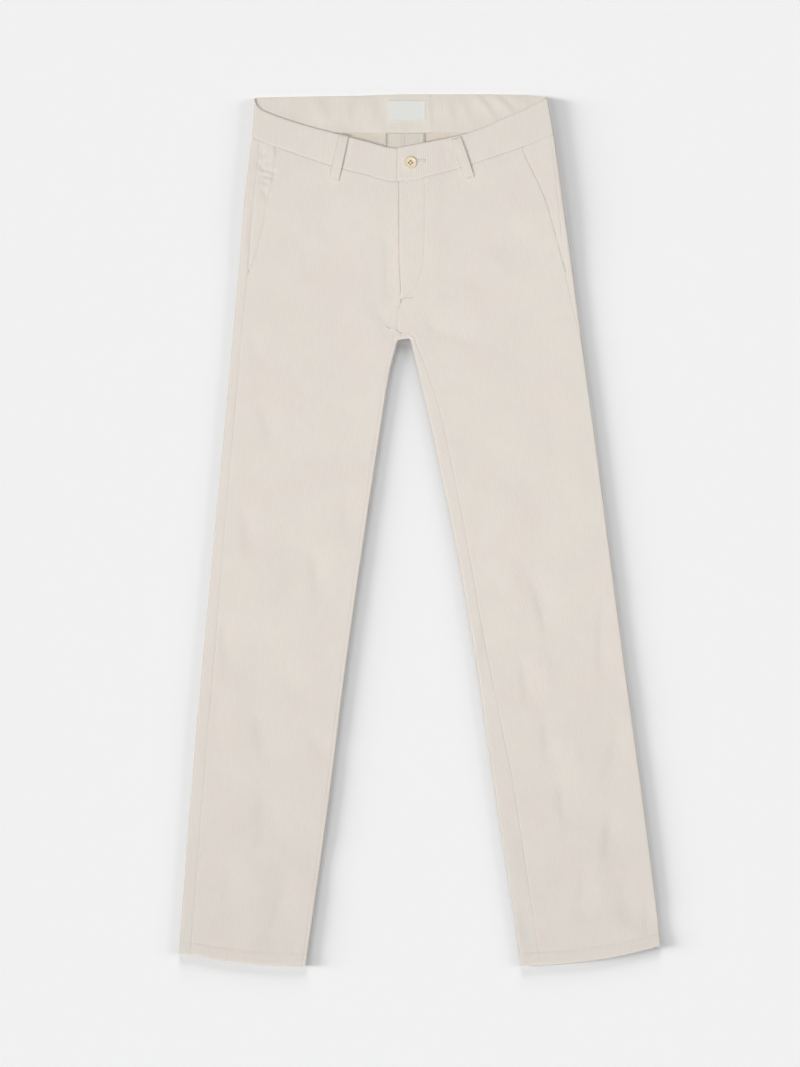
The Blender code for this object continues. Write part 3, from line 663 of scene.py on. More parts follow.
def lap_dip(x, y, edge, swollen):
    """How far a right piece stands up beside the lap's edge, and gives way beneath it."""
    swell = swollen * ease(edge - 16.0, edge - 3.0, x)
    dip = (LAP_DIP + swollen) * ease(edge - LAP_DIP_WIDTH, edge - 0.1, x)
    return (swell - dip) * ease(LAP_START, FLY_BOTTOM, y)


def fly_groove(x, y):
    """How deep the fly's stitching draws the cloth in."""
    if y < FLY_STITCHES[-1][1]:
        return 0.0
    away = x - read([(tall, across) for across, tall in FLY_STITCHES], 1, y)
    return FLY_GROOVE[0] * math.exp(-(away / FLY_GROOVE[1]) ** 2)


def raised(spot, by):
    (x, y, z), cut = spot
    return (x, y, z + by), cut


def fly_relief(leg, x, y):
    """How far a front stands up beside the fly's edge, or gives way."""
    if leg == "left":
        return lap_lift(x, y, WALL) - fly_groove(x, y)
    return lap_dip(x, y, read(FRONT_CENTRE, 1, y), LAP_SWELL["front"])


def front_grid(leg, rows):
    """Spots of a front panel, all on top, from the side seam or pocket mouth to the centre."""
    toward = LEGS[leg]["toward"]
    grid = []
    for row in rows:
        y = row["side_y"]
        line = [side_spot(leg, row, around, False) for around in front_stations(front_edge(leg, y, row["rise"]), y)]
        inner = row["inner"]
        if inner:
            end = fold_spot(inner["edge"], inner["out"], inner["seam"] + SEAM_GAP / 2.0, False)[0]
        else:
            centre = FLY_UNDER_X if leg == "right" else FRONT_CENTRE[-1][1]
            top = read(WAIST[leg], 1, waist_around(leg, centre)) - WAIST_GAP / 2.0
            y = mix(FRONT_CENTRE[0][0], top, row["rise"])
            x = read(FRONT_CENTRE, 1, y) - toward * SEAM_GAP / 2.0
            if leg == "right":
                x = mix(x, FLY_UNDER_X, ease(FLY_BOTTOM - 4.5, FLY_BOTTOM, y))
            end = (x, y)
        start = line[-1][0]
        steps = LAP_STEPS if leg == "right" else GROOVE_STEPS
        line += [across(leg, row, start, end, share, False)
                 for share in shares_to_edge(start, end, FRONT_COLUMNS, steps)]
        if not inner:
            line = [raised(spot, fly_relief(leg, *spot[0][:2])) for spot in line]
        grid.append(line)
    return grid


def pocket_grid(leg, rows):
    """Spots of the facing in a pocket mouth, level with the back at its seam and reaching in behind the front."""
    grid = []
    for row in rows:
        y = row["side_y"]
        if row["inner"] or y < POCKET_EDGE[leg][0][0] - HEM_DEPTH:
            continue
        outer = side_seam(leg, y) + SEAM_GAP / 2.0
        mouth = front_edge(leg, y, row["rise"])
        near = [max(outer + 0.05 * index, mouth - step) for index, step in enumerate(POCKET_STEPS, start=1)]
        stations = spread(outer, near[0], 10) + near[1:] + spread(near[-1], mouth + POCKET_REACH, 7)[1:]
        line = []
        for around in stations:
            sunk = (0.3 * ease(0.0, 0.7 * max(mouth - outer, 0.5), around - outer) +
                    0.7 * ease(POCKET_SINK[leg], 0.3, mouth - around))
            line.append(raised(side_spot(leg, row, around, False), -(WALL + LAYER_GAP) * sunk))
        grid.append(line)
    return grid


def band_spot(leg, around, up):
    """A spot of the waistband, with the wales running across it."""
    waist = WAIST[leg]
    low, high = read(waist, 1, around) + WAIST_GAP / 2.0, read(waist, 2, around)
    y = mix(low, high, up)
    edge = Vector((band_fold(leg, around, y), y))
    place = fold_spot(edge, Vector((-LEGS[leg]["toward"], 0.0)), around, True)[0]
    return place, (around, up * (high - low))


def band_grid(leg):
    """Spots of one half of the waistband, from the centre back round the side to the fly."""
    toward = LEGS[leg]["toward"]
    bend = quarter(WAIST_SIDE_Y)
    fly = waist_around(leg, LEGS[leg]["band_end"])
    seat = -waist_around(leg, BACK_CENTRE[1][1] - toward * SEAM_GAP / 2.0)
    stations = [seat] + [seat + step for step in EDGE_STEPS]
    stations += spread(stations[-1], -bend, 64)[1:] + spread(-bend, bend, 12)[1:]
    if leg == "right":
        stations += spread(bend, fly - BAND_LAP_STEPS[-1], 60)[1:] + [fly - step for step in BAND_LAP_STEPS[-2::-1]]
    stations += spread(stations[-1], fly - EDGE_STEPS[-1], 14 if leg == "right" else 72)[1:]
    stations += [fly - step for step in EDGE_STEPS[-2::-1]] + [fly]
    high = 43.0
    ups = [0.0] + [step / high for step in EDGE_STEPS]
    ups += spread(ups[-1], 1.0 - ups[-1], 13)[1:] + [1.0 - step / high for step in EDGE_STEPS[-2::-1]] + [1.0]
    grid = []
    for up in ups:
        line = [band_spot(leg, around, up) for around in stations]
        shift = {"left": lambda x, y: lap_lift(x, y, BAND_WALL),
                 "right": lambda x, y: lap_dip(x, y, LEGS["left"]["band_end"], LAP_SWELL["band"])}[leg]
        grid.append([raised(spot, shift(spot[0][0], spot[0][1]) if around > 0.0 else 0.0)
                     for around, spot in zip(stations, line)])
    return grid


def back_top(x):
    """Height of the back's top edge above a place x."""
    leg = "right" if x < BACK_CENTRE[1][1] else "left"
    return read(WAIST[leg], 2, -waist_around(leg, x))


def facing_grid():
    """Spots of the lining of the back waistband, from one side fold to the other."""
    level = underside(WAIST_SIDE_Y) + BAND_WALL + LAYER_GAP + INNER_WALL
    low, high = FACING["low"], SIDE_FOLD["left"][0][0]
    ups = [0.0, 0.02, 0.045, 0.08] + spread(0.08, 1.0, 18)[1:]
    grid = []
    for up in ups:
        y = mix(low, high, up)
        ends = [read(SIDE_FOLD[leg], 1, y) + LEGS[leg]["toward"] * FACING["inset"] for leg in ("right", "left")]
        line = []
        for x in spread(*ends, 150):
            top = mix(low, back_top(x) - FACING["below_top"], up)
            line.append(((x, top, level), (x, top)))
        grid.append(line)
    return grid


def flat_grid(xs, ys, level):
    """Spots of a flat rectangle. level gives the height of a place."""
    return [[((x, y, level(x, y)), (x, y)) for x in xs] for y in ys]


def label_grid():
    """Spots of the label, whose ends are pressed down where they are sewn."""
    level = underside(WAIST_SIDE_Y) + BAND_WALL + 2.0 * (LAYER_GAP + INNER_WALL)
    return flat_grid(spread(*LABEL["x"], 40), spread(*LABEL["y"], 20), lambda x, y: level)


def outlet_edge(leg, y):
    """x of the free edge of a seat outlet."""
    width = mix(OUTLET["crotch"], OUTLET["waist"], ease(OUTLET["bottom"], OUTLET["top"], y))
    return read(BACK_CENTRE, 1, y) - LEGS[leg]["toward"] * (SEAM_GAP / 2.0 + width)


def outlet_grid(leg):
    """Seam allowance of one back panel, pressed open inside the seat."""
    toward = LEGS[leg]["toward"]
    grid = []
    for y in spread(OUTLET["bottom"], OUTLET["top"], 84):
        seam = read(BACK_CENTRE, 1, y) - toward * SEAM_GAP / 2.0
        level = underside(y) + WALL + LAYER_GAP + INNER_WALL
        shares = [0.0, 0.02, 0.05, 0.09, 0.14, 0.2] + spread(0.2, 1.0, 8)[1:]
        grid.append([((x, y, level + OUTLET["curl"] * (1.0 - ease(0.0, 0.2, share)) * ease(456.0, 506.0, y)), (x, y))
                     for share, x in zip(shares, [mix(outlet_edge(leg, y), seam, share) for share in shares])])
    return grid


def shield_grid():
    """Strip behind the fly, under the right front's edge."""
    return flat_grid(spread(*SHIELD["x"], 12), spread(*SHIELD["y"], 40),
                     lambda x, y: topside(y) - WALL - LAYER_GAP - LAP_DIP)


def loop_spot(middle, side, reach, level, along):
    """A spot of a belt loop, whose edges are turned under and lie a little lower than its middle."""
    place = middle + side * reach
    crown = 0.25 * (2.0 * reach / LOOP_WIDTH) ** 4
    return (place.x, place.y, level - crown), (reach, along)


def front_loop_grid(leg):
    top, bottom = (Vector(end) for end in FRONT_LOOPS[leg])
    side = (top - bottom).normalized().orthogonal()
    if side.x < 0.0:
        side = -side
    length = (top - bottom).length
    grid = []
    for up in spread(0.0, 1.0, 30):
        middle = bottom.lerp(top, up)
        level = topside(middle.y) + 2.0 * LAYER_GAP + WALL + LOOP_ARCH * math.sin(math.pi * up) ** 0.6
        grid.append([loop_spot(middle, side, reach, level, up * length) for reach in loop_stations()])
    return grid


def loop_stations():
    half = LOOP_WIDTH / 2.0
    return [-half, -half + 0.7] + spread(-half + 1.5, half - 1.5, 8) + [half - 0.7, half]


def back_loop_grid(x):
    return [[((x + reach, y, 0.0), (reach, y)) for reach in loop_stations()]
            for y in spread(*BACK_LOOP_Y[::-1], 30)]


# Cloth from a grid

def grid_arrays(spots):
    """Places and cut of a grid as arrays, short rows filled out with their last spot, and which are real."""
    columns = max(len(row) for row in spots)
    filled = [row + [row[-1]] * (columns - len(row)) for row in spots]
    place = np.array([[spot[0] for spot in row] for row in filled], float)
    cut = np.array([[spot[1] for spot in row] for row in filled], float)
    real = np.array([[column < len(row) for column in range(columns)] for row in spots])
    return place, cut, real


def turn_up(place, cut, real):
    """Adds the rows of a hem before a grid: up inside the leg, and round its bottom edge."""
    down = unit(place[0] - place[1])
    out = unit(np.cross(np.gradient(place[0], axis=0), down))
    if (out[:, 2] * (place[0, :, 2] - LEG_HEIGHT / 2.0)).sum() < 0.0:
        out = -out
    cut_down = unit(cut[0] - cut[1])
    rows = []
    for inside in HEM_INSIDE:
        rows.append((place[0] - down * inside - out * 2.0 * HEM_ROLL, math.pi * HEM_ROLL + inside))
    for turn in spread(math.pi, 0.0, HEM_TURN)[:-1]:
        rows.append((place[0] + (down * math.sin(turn) - out * (1.0 - math.cos(turn))) * HEM_ROLL, turn * HEM_ROLL))
    place = np.concatenate([np.array([row for row, length in rows]), place])
    cut = np.concatenate([np.array([cut[0] + cut_down * length for row, length in rows]), cut])
    return place, cut, np.concatenate([np.repeat(real[:1], len(rows), axis=0), real])


def walked(place, axis):
    """Distance along each row or column of a grid."""
    steps = np.linalg.norm(np.diff(place, axis=axis), axis=2)
    start = np.zeros_like(steps[:1] if axis == 0 else steps[:, :1])
    return np.concatenate([start, np.cumsum(steps, axis=axis)], axis=axis)


def edge_relief(along, away, style, seed, depth):
    """Roll and puckers beside one edge. style is its roll and pucker depth, as styles gives them."""
    roll, pucker = style
    wave = pucker * ripple(along, PUCKER_LENGTH, seed) * np.exp(-away / PUCKER_REACH) * depth
    return wave - roll * np.clip(1.0 - away / ROLL_REACH, 0.0, 1.0) ** 2


def hem_relief(along, above, seed):
    """Groove of the hem's stitching, and the slanting ropes between it and the bottom edge."""
    groove = -0.3 * np.exp(-((above - HEM_DEPTH + 1.5) / 1.3) ** 2)
    shown = ease(0.5, 5.0, above) * (1.0 - ease(HEM_DEPTH - 4.0, HEM_DEPTH, above))
    rope = 0.16 * (1.0 + ripple(along + 0.5 * above, 11.0, seed)) * shown
    return groove + rope


def styles(names, y):
    """Roll and pucker depth at each y, where names is one edge style, or (low style, y, high style)."""
    if isinstance(names, str):
        names = (names, 1e6, names)
    low, change, high = names
    above = (y > change).astype(float)
    return [mix(EDGES[low][part], EDGES[high][part], above) for part in range(2)]


def relief(place, normals, edges, hem, seed, inside, settings):
    """How far each spot of a grid moves out along its normal."""
    along_rows, along_columns = walked(place, 1), walked(place, 0)
    totals = along_rows[:, -1:], along_columns[-1:, :]
    x, y = place[:, :, 0], place[:, :, 1]
    up = normals[:, :, 2]
    if inside:
        moved = creases(x, y, CREASES_INSIDE) * settings.crease_depth
    else:
        moved = (creases(x, y, CREASES) * np.clip(up, 0.0, 1.0) +
                 np.minimum(creases(x, y, CREASES_BELOW), 0.0) * np.clip(-up, 0.0, 1.0)) * settings.crease_depth
    above = along_columns - (walked(place[:len(HEM_INSIDE) + HEM_TURN // 2 + 1], 0)[-1] if hem else 0.0)
    if hem:
        moved *= ease(3.0, 40.0, above)
    for name, along, away in (("start", along_columns[:, :1], along_rows),
                              ("end", along_columns[:, -1:], totals[0] - along_rows),
                              ("low", along_rows[:1], along_columns),
                              ("high", along_rows[-1:], totals[1] - along_columns)):
        if name not in edges:
            continue
        at = {"start": y[:, :1], "end": y[:, -1:], "low": y[:1], "high": y[-1:]}[name]
        seed += 1.0
        moved += edge_relief(along, away, styles(edges[name], at), seed, settings.pucker_depth)
    if hem:
        moved = np.where(above < -0.01, 0.0, moved + hem_relief(along_rows, above, seed) * settings.pucker_depth)
    return moved


def add_cloth(name, spots, wall, face, grain=0.0, edges=None, hem=False, seed=0.0, up_facing=False,
              inside=False, lining=None, rounding=0.08):
    """Shell through a grid of spots, with its wall behind its outer face."""
    settings = bpy.context.scene.trousers_cloth
    place, cut, real = grid_arrays(spots)
    if hem:
        place, cut, real = turn_up(place, cut, real)
    rows, columns = real.shape
    bm = bmesh.new()
    bmesh.ops.create_grid(bm, x_segments=columns - 1, y_segments=rows - 1, size=1.0)
    for vert, at in zip(bm.verts, place.reshape(-1, 3)):
        vert.co = Vector(at) * MM
    bm.normal_update()
    normals = np.array([vert.normal for vert in bm.verts]).reshape(rows, columns, 3)
    middle = np.vectorize(underside)(place[:, :, 1]) + WAIST_HEIGHT / 2.0
    outward = normals[:, :, 2].sum() if up_facing else (normals[:, :, 2] * (place[:, :, 2] - middle)).sum()
    if outward < 0.0:
        bmesh.ops.reverse_faces(bm, faces=bm.faces[:])
        normals = -normals
    moved = relief(place, normals, edges or {}, hem, seed, inside, settings)
    for vert, normal, by in zip(bm.verts, normals.reshape(-1, 3), moved.reshape(-1)):
        vert.co += Vector(normal) * float(by) * MM
    turn = math.radians(grain)
    lean = np.array([[math.cos(turn), -math.sin(turn)], [math.sin(turn), math.cos(turn)]])
    woven = (cut @ lean * MM).reshape(-1, 2)
    layer = bm.loops.layers.uv.new("cut")
    for quad in bm.faces:
        quad.smooth = True
        for loop in quad.loops:
            loop[layer].uv = woven[loop.vert.index]
    cells = cut[:-1, :-1], cut[:-1, 1:], cut[1:, 1:], cut[1:, :-1]
    diagonals = cells[2] - cells[0], cells[3] - cells[1]
    doubled = np.abs(diagonals[0][:, :, 0] * diagonals[1][:, :, 1] - diagonals[0][:, :, 1] * diagonals[1][:, :, 0])
    gone = [vert for vert, kept in zip(bm.verts, real.reshape(-1)) if not kept]
    bmesh.ops.delete(bm, geom=gone, context='VERTS')
    surfaces[name] = BVHTree.FromBMesh(bm)
    item = link(name, bm, face)
    if lining:
        item.data.materials.append(lining)
    solid = item.modifiers.new("Wall", 'SOLIDIFY')
    solid.offset = -1.0
    solid.thickness = wall * MM
    solid.material_offset = 1 if lining else 0
    if rounding:
        bevel = item.modifiers.new("Rounded edges", 'BEVEL')
        bevel.width = rounding * MM
        bevel.segments = 2
        bevel.limit_method = 'ANGLE'
        bevel.angle_limit = math.radians(50.0)
        bevel.harden_normals = True
    flat = woven[real.reshape(-1)]
    size = flat.max(axis=0) - flat.min(axis=0)
    item["cut_width"], item["cut_length"] = float(size[0]), float(size[1])
    item["cut_area"] = min(float(doubled.sum()) / 2.0 * MM * MM, float(size[0] * size[1]))
    return item


def link(name, bm, material):
    """Mesh object at the origin, smooth, with one material."""
    mesh = bpy.data.meshes.new(name)
    bm.to_mesh(mesh)
    bm.free()
    mesh.polygons.foreach_set("use_smooth", [True] * len(mesh.polygons))
    item = bpy.data.objects.new(name, mesh)
    bpy.context.scene.collection.objects.link(item)
    item.data.materials.append(material)
    return item


def stand_for(item, slot, *nodes):
    """Puts a piece on the body in place of its nodes."""
    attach(item, "root")
    if nodes:
        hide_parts(*nodes)
    return item


# Sewing

def touch(x, y, up=True, piece=None):
    """Highest outer face over a place, or the lowest one under it, with its normal.

    piece, where given, is the only one that is looked at.
    """
    sign = 1.0 if up else -1.0
    start, ray = Vector((x * MM, y * MM, sign)), Vector((0.0, 0.0, -sign))
    hits = [tree.ray_cast(start, ray) for name, tree in surfaces.items() if piece in (None, name)]
    hits = [hit for hit in hits if hit[0]]
    if not hits:
        return None, None
    best = max(hits, key=lambda hit: hit[0].z * sign)
    normal = best[1] if best[1].z * sign > 0.0 else -best[1]
    return best[0], normal


def add_stitch(bm, start, end, normal, width):
    """One stitch, a small spindle half sunk in the cloth."""
    along = end - start
    side = normal.cross(along).normalized()
    basis = Matrix((side, along.normalized().cross(side), along.normalized())).transposed().to_4x4()
    size = Matrix.Diagonal((width / 2.0, width / 2.0, along.length / 2.0, 1.0))
    middle = Matrix.Translation((start + end) / 2.0 + normal * width * 0.12)
    stitch = bmesh.new()
    bmesh.ops.create_uvsphere(stitch, u_segments=6, v_segments=5, radius=1.0, matrix=middle @ basis @ size)
    mesh = bpy.data.meshes.new("stitch")
    stitch.to_mesh(mesh)
    stitch.free()
    bm.from_mesh(mesh)
    bpy.data.meshes.remove(mesh)


def walk(points, step):
    """Points a step apart along a line of points."""
    places = []
    carried = 0.0
    for start, end in zip(points, points[1:]):
        run = Vector(end) - Vector(start)
        while carried < run.length:
            places.append(Vector(start) + run * (carried / run.length))
            carried += step
        carried -= run.length
    return places


def sew_line(bm, points, settings, up=True):
    """Row of stitches along a line on the outer faces."""
    pitch = settings.stitch_length / MM
    places = walk(points, pitch)
    for start, after in zip(places, places[1:]):
        ends = [touch(*start, up), touch(*start.lerp(after, 0.8), up)]
        if all(end[0] for end in ends) and abs(ends[0][0].z - ends[1][0].z) < 0.001:
            add_stitch(bm, ends[0][0], ends[1][0], ends[0][1], settings.thread_width)


def sew_bar(bm, start, end, breadth, settings, up=True, spacing=0.55, piece=None):
    """Bar tack: a short line of close stitches set across it, spaced in thread widths."""
    run = Vector(end) - Vector(start)
    side = Vector((-run.y, run.x)).normalized() * breadth / 2.0
    for place in walk([start, end], settings.thread_width / MM * spacing):
        ends = [touch(*(place + side), up, piece), touch(*(place - side), up, piece)]
        if all(at[0] for at in ends):
            add_stitch(bm, ends[0][0], ends[1][0], ends[0][1], settings.thread_width)


# Materials

def add_node(tree, kind, settings=None, links=None):
    """Node with its settings, which are attributes or input sockets, and the links into its sockets."""
    node = tree.nodes.new("ShaderNode" + kind)
    for key, value in (settings or {}).items():
        if isinstance(key, str) and hasattr(node, key):
            setattr(node, key, value)
        else:
            node.inputs[key].default_value = value
    for key, source in (links or {}).items():
        tree.links.new(source, node.inputs[key])
    return node


def new_material(name, colour, roughness, **shader_settings):
    """Material with a Principled shader, ready for its pattern."""
    material = bpy.data.materials.new(name)
    material.use_nodes = True
    material.diffuse_color = (*colour, 1.0)
    tree = material.node_tree
    shader = tree.nodes["Principled BSDF"]
    shader.inputs["Base Color"].default_value = (*colour, 1.0)
    shader.inputs["Roughness"].default_value = roughness
    for key, value in shader_settings.items():
        shader.inputs[key.replace("_", " ")].default_value = value
    return material, tree, shader


def toned(colour, share):
    return (*[min(1.0, part * share) for part in colour], 1.0)


def weighted(tree, *terms):
    """Sum of (socket, weight) terms."""
    total = None
    for socket, weight in terms:
        links = {0: socket} if total is None else {0: socket, 2: total.outputs[0]}
        total = add_node(tree, "Math", {"operation": 'MULTIPLY_ADD', 1: weight, 2: 0.0} if total is None else
                         {"operation": 'MULTIPLY_ADD', 1: weight}, links)
    return total.outputs[0]


def add_bump(tree, shader, height_socket, distance):
    bump = add_node(tree, "Bump", {"Strength": 1.0, "Distance": distance}, {"Height": height_socket})
    tree.links.new(bump.outputs["Normal"], shader.inputs["Normal"])


def corduroy(name, face, settings):
    """Cotton corduroy with a cut pile: dull, ribbed along the grain, and clouded where the nap lies another way."""
    material, tree, shader = new_material(name, face, 0.95, Sheen_Weight=0.03, Sheen_Roughness=0.5,
                                          Specular_IOR_Level=0.12)
    cut = add_node(tree, "UVMap", {"uv_map": "cut"}).outputs["UV"]
    # One wale is about 1.4 mm on this cloth, drawn twice as wide so that the ribs show
    wales = add_node(tree, "TexWave", {"Scale": math.tau / 20.0 / settings.wale_width, "Distortion": 0.8,
                                       "Detail": 1.0, "Detail Scale": 0.3}, {"Vector": cut}).outputs["Fac"]
    along = add_node(tree, "Mapping", {"Scale": (1.0 / STREAK[0] / MM, 1.0 / STREAK[1] / MM, 1.0)},
                     {"Vector": cut}).outputs[0]
    streaks = add_node(tree, "TexNoise", {"Scale": 1.0, "Detail": 3.0}, {"Vector": along}).outputs["Fac"]
    clouds = add_node(tree, "TexNoise", {"Scale": 1.0 / CLOUD / MM, "Detail": 4.0, "Roughness": 0.6},
                      {"Vector": cut}).outputs["Fac"]
    fuzz = add_node(tree, "TexNoise", {"Scale": 1.0 / FUZZ / MM, "Detail": 2.0}, {"Vector": cut}).outputs["Fac"]
    # In the tone, the wales make the grooves a little darker than the ridges: painted shade. The streaks, clouds and
    # fuzz vary the tone at random.
    tone = weighted(tree, (wales, 0.12), (streaks, 0.5), (clouds, 0.4), (fuzz, 0.2))
    level = add_node(tree, "MapRange", {"From Min": 0.35, "From Max": 0.9}, {"Value": tone}).outputs[0]
    shade = add_node(tree, "Mix", {"data_type": 'RGBA', 6: toned(face, 0.945), 7: toned(face, 1.04)},
                     {0: level}).outputs[2]
    # The dye takes a little pinker from place to place
    patches = add_node(tree, "TexNoise", {"Scale": 1.0 / PATCH / MM, "Detail": 4.0, "Roughness": 0.62},
                       {"Vector": cut}).outputs["Fac"]
    pink = (1.016, 0.985, 0.992, 1.0)
    taken = add_node(tree, "MapRange", {"From Min": 0.4, "From Max": 0.6}, {"Value": patches}).outputs[0]
    colour = add_node(tree, "Mix", {"data_type": 'RGBA', "blend_type": 'MULTIPLY', 7: pink},
                      {0: taken, 6: shade}).outputs[2]
    tree.links.new(colour, shader.inputs["Base Color"])
    add_bump(tree, shader, weighted(tree, (wales, 1.0), (streaks, 0.35), (fuzz, 0.4)), settings.wale_depth)
    return material


def plain_back(settings):
    """Back of the corduroy, an open plain weave with no pile: flatter and a little warmer than the face."""
    material, tree, shader = new_material("plain_woven_cotton_back", settings.back, 0.9,
                                          Specular_IOR_Level=0.25)
    cut = add_node(tree, "UVMap", {"uv_map": "cut"}).outputs["UV"]
    scale = math.tau / 20.0 / (THREAD_PITCH * MM)
    warp = add_node(tree, "TexWave", {"Scale": scale, "Distortion": 0.6}, {"Vector": cut}).outputs["Fac"]
    weft = add_node(tree, "TexWave", {"bands_direction": 'Y', "Scale": scale, "Distortion": 0.6},
                    {"Vector": cut}).outputs["Fac"]
    slubs = add_node(tree, "TexNoise", {"Scale": 1.0 / 7.0 / MM, "Detail": 5.0, "Roughness": 0.7},
                     {"Vector": cut}).outputs["Fac"]
    clouds = add_node(tree, "TexNoise", {"Scale": 1.0 / CLOUD / MM, "Detail": 3.0}, {"Vector": cut}).outputs["Fac"]
    tone = weighted(tree, (warp, 0.15), (weft, 0.15), (slubs, 0.5), (clouds, 0.6))
    level = add_node(tree, "MapRange", {"From Min": 0.4, "From Max": 1.0}, {"Value": tone}).outputs[0]
    colour = add_node(tree, "Mix", {"data_type": 'RGBA', 6: toned(settings.back, 0.93),
                                    7: toned(settings.back, 1.05)}, {0: level}).outputs[2]
    tree.links.new(colour, shader.inputs["Base Color"])
    add_bump(tree, shader, weighted(tree, (warp, 0.5), (weft, 0.5), (slubs, 0.5)), 0.00015)
    return material


def facing_twill(settings):
    """Fine cotton twill: matt, with faint slanting ribs and the odd thicker thread running up and down."""
    material, tree, shader = new_material("fine_cotton_twill", settings.facing, 0.85, Specular_IOR_Level=0.25,
                                          Sheen_Weight=0.05)
    cut = add_node(tree, "UVMap", {"uv_map": "cut"}).outputs["UV"]
    ribs = add_node(tree, "TexWave", {"bands_direction": 'DIAGONAL', "Scale": math.tau / 20.0 / (THREAD_PITCH * MM),
                                      "Distortion": 0.5}, {"Vector": cut}).outputs["Fac"]
    along = add_node(tree, "Mapping", {"Scale": (1.0 / 1.3 / MM, 1.0 / 30.0 / MM, 1.0)}, {"Vector": cut}).outputs[0]
    threads = add_node(tree, "TexNoise", {"Scale": 1.0, "Detail": 3.0}, {"Vector": along}).outputs["Fac"]
    clouds = add_node(tree, "TexNoise", {"Scale": 1.0 / 30.0 / MM, "Detail": 4.0}, {"Vector": cut}).outputs["Fac"]
    tone = weighted(tree, (ribs, 0.2), (threads, 0.6), (clouds, 0.6))
    level = add_node(tree, "MapRange", {"From Min": 0.4, "From Max": 1.0}, {"Value": tone}).outputs[0]
    colour = add_node(tree, "Mix", {"data_type": 'RGBA', 6: toned(settings.facing, 0.93),
                                    7: toned(settings.facing, 1.05)}, {0: level}).outputs[2]
    tree.links.new(colour, shader.inputs["Base Color"])
    add_bump(tree, shader, weighted(tree, (ribs, 0.6), (threads, 0.5)), 0.00012)
    return material


def satin_tape(settings):
    """Woven polyester satin tape: smooth, faintly ribbed across, with a soft gloss along its threads."""
    material, tree, shader = new_material("woven_polyester_satin_tape", settings.label, 0.5,
                                          Specular_IOR_Level=0.4, Sheen_Weight=0.1)
    cut = add_node(tree, "UVMap", {"uv_map": "cut"}).outputs["UV"]
    ribs = add_node(tree, "TexWave", {"bands_direction": 'Y', "Scale": math.tau / 20.0 / (TAPE_RIB * MM),
                                      "Distortion": 0.3}, {"Vector": cut}).outputs["Fac"]
    threads = add_node(tree, "TexNoise", {"Scale": 1.0 / 1.5 / MM, "Detail": 3.0}, {"Vector": cut}).outputs["Fac"]
    level = weighted(tree, (ribs, 0.35), (threads, 0.65))
    colour = add_node(tree, "Mix", {"data_type": 'RGBA', 6: toned(settings.label, 0.94),
                                    7: toned(settings.label, 1.04)}, {0: level}).outputs[2]
    tree.links.new(colour, shader.inputs["Base Color"])
    add_bump(tree, shader, ribs, 0.0001)
    return material


def cast_polyester(settings):
    """Cast polyester resin, turned and polished: glossy, with a milky cloud through it like horn."""
    material, tree, shader = new_material("cast_polyester_resin", settings.button, 0.28, IOR=1.55,
                                          Coat_Weight=0.25, Coat_Roughness=0.15)
    place = add_node(tree, "TexCoord").outputs["Object"]
    centred = add_node(tree, "Mapping", {"Location": (-BUTTON["x"] * MM, -BUTTON["y"] * MM, 0.0)},
                       {"Vector": place}).outputs[0]
    milk = add_node(tree, "TexNoise", {"Scale": 1.0 / 5.0 / MM, "Detail": 3.0, "Distortion": 1.2},
                    {"Vector": centred}).outputs["Fac"]
    level = add_node(tree, "MapRange", {"From Min": 0.35, "From Max": 0.7}, {"Value": milk}).outputs[0]
    colour = add_node(tree, "Mix", {"data_type": 'RGBA', 6: toned(settings.button, 0.9),
                                    7: toned(settings.button, 1.06)}, {0: level}).outputs[2]
    tree.links.new(colour, shader.inputs["Base Color"])
    scuffs = add_node(tree, "TexNoise", {"Scale": 1.0 / 0.6 / MM, "Detail": 2.0}, {"Vector": centred}).outputs["Fac"]
    add_bump(tree, shader, scuffs, 0.00001)
    return material


def sewing_thread(name, colour):
    """Core-spun polyester thread: matt, with the fine twist of its plies."""
    material, tree, shader = new_material(name, colour, 0.75, Specular_IOR_Level=0.3)
    place = add_node(tree, "TexCoord").outputs["Object"]
    plies = add_node(tree, "TexWave", {"bands_direction": 'DIAGONAL', "Scale": math.tau / 20.0 / (PLY * MM)},
                     {"Vector": place}).outputs["Fac"]
    colour_at = add_node(tree, "Mix", {"data_type": 'RGBA', 6: toned(colour, 0.85), 7: toned(colour, 1.05)},
                         {0: plies}).outputs[2]
    tree.links.new(colour_at, shader.inputs["Base Color"])
    add_bump(tree, shader, plies, 0.00005)
    return material


def studio_paper(settings):
    """Matt white background paper."""
    return new_material("matt_background_paper", settings.floor, 1.0, Specular_IOR_Level=0.0)[0]


# Button

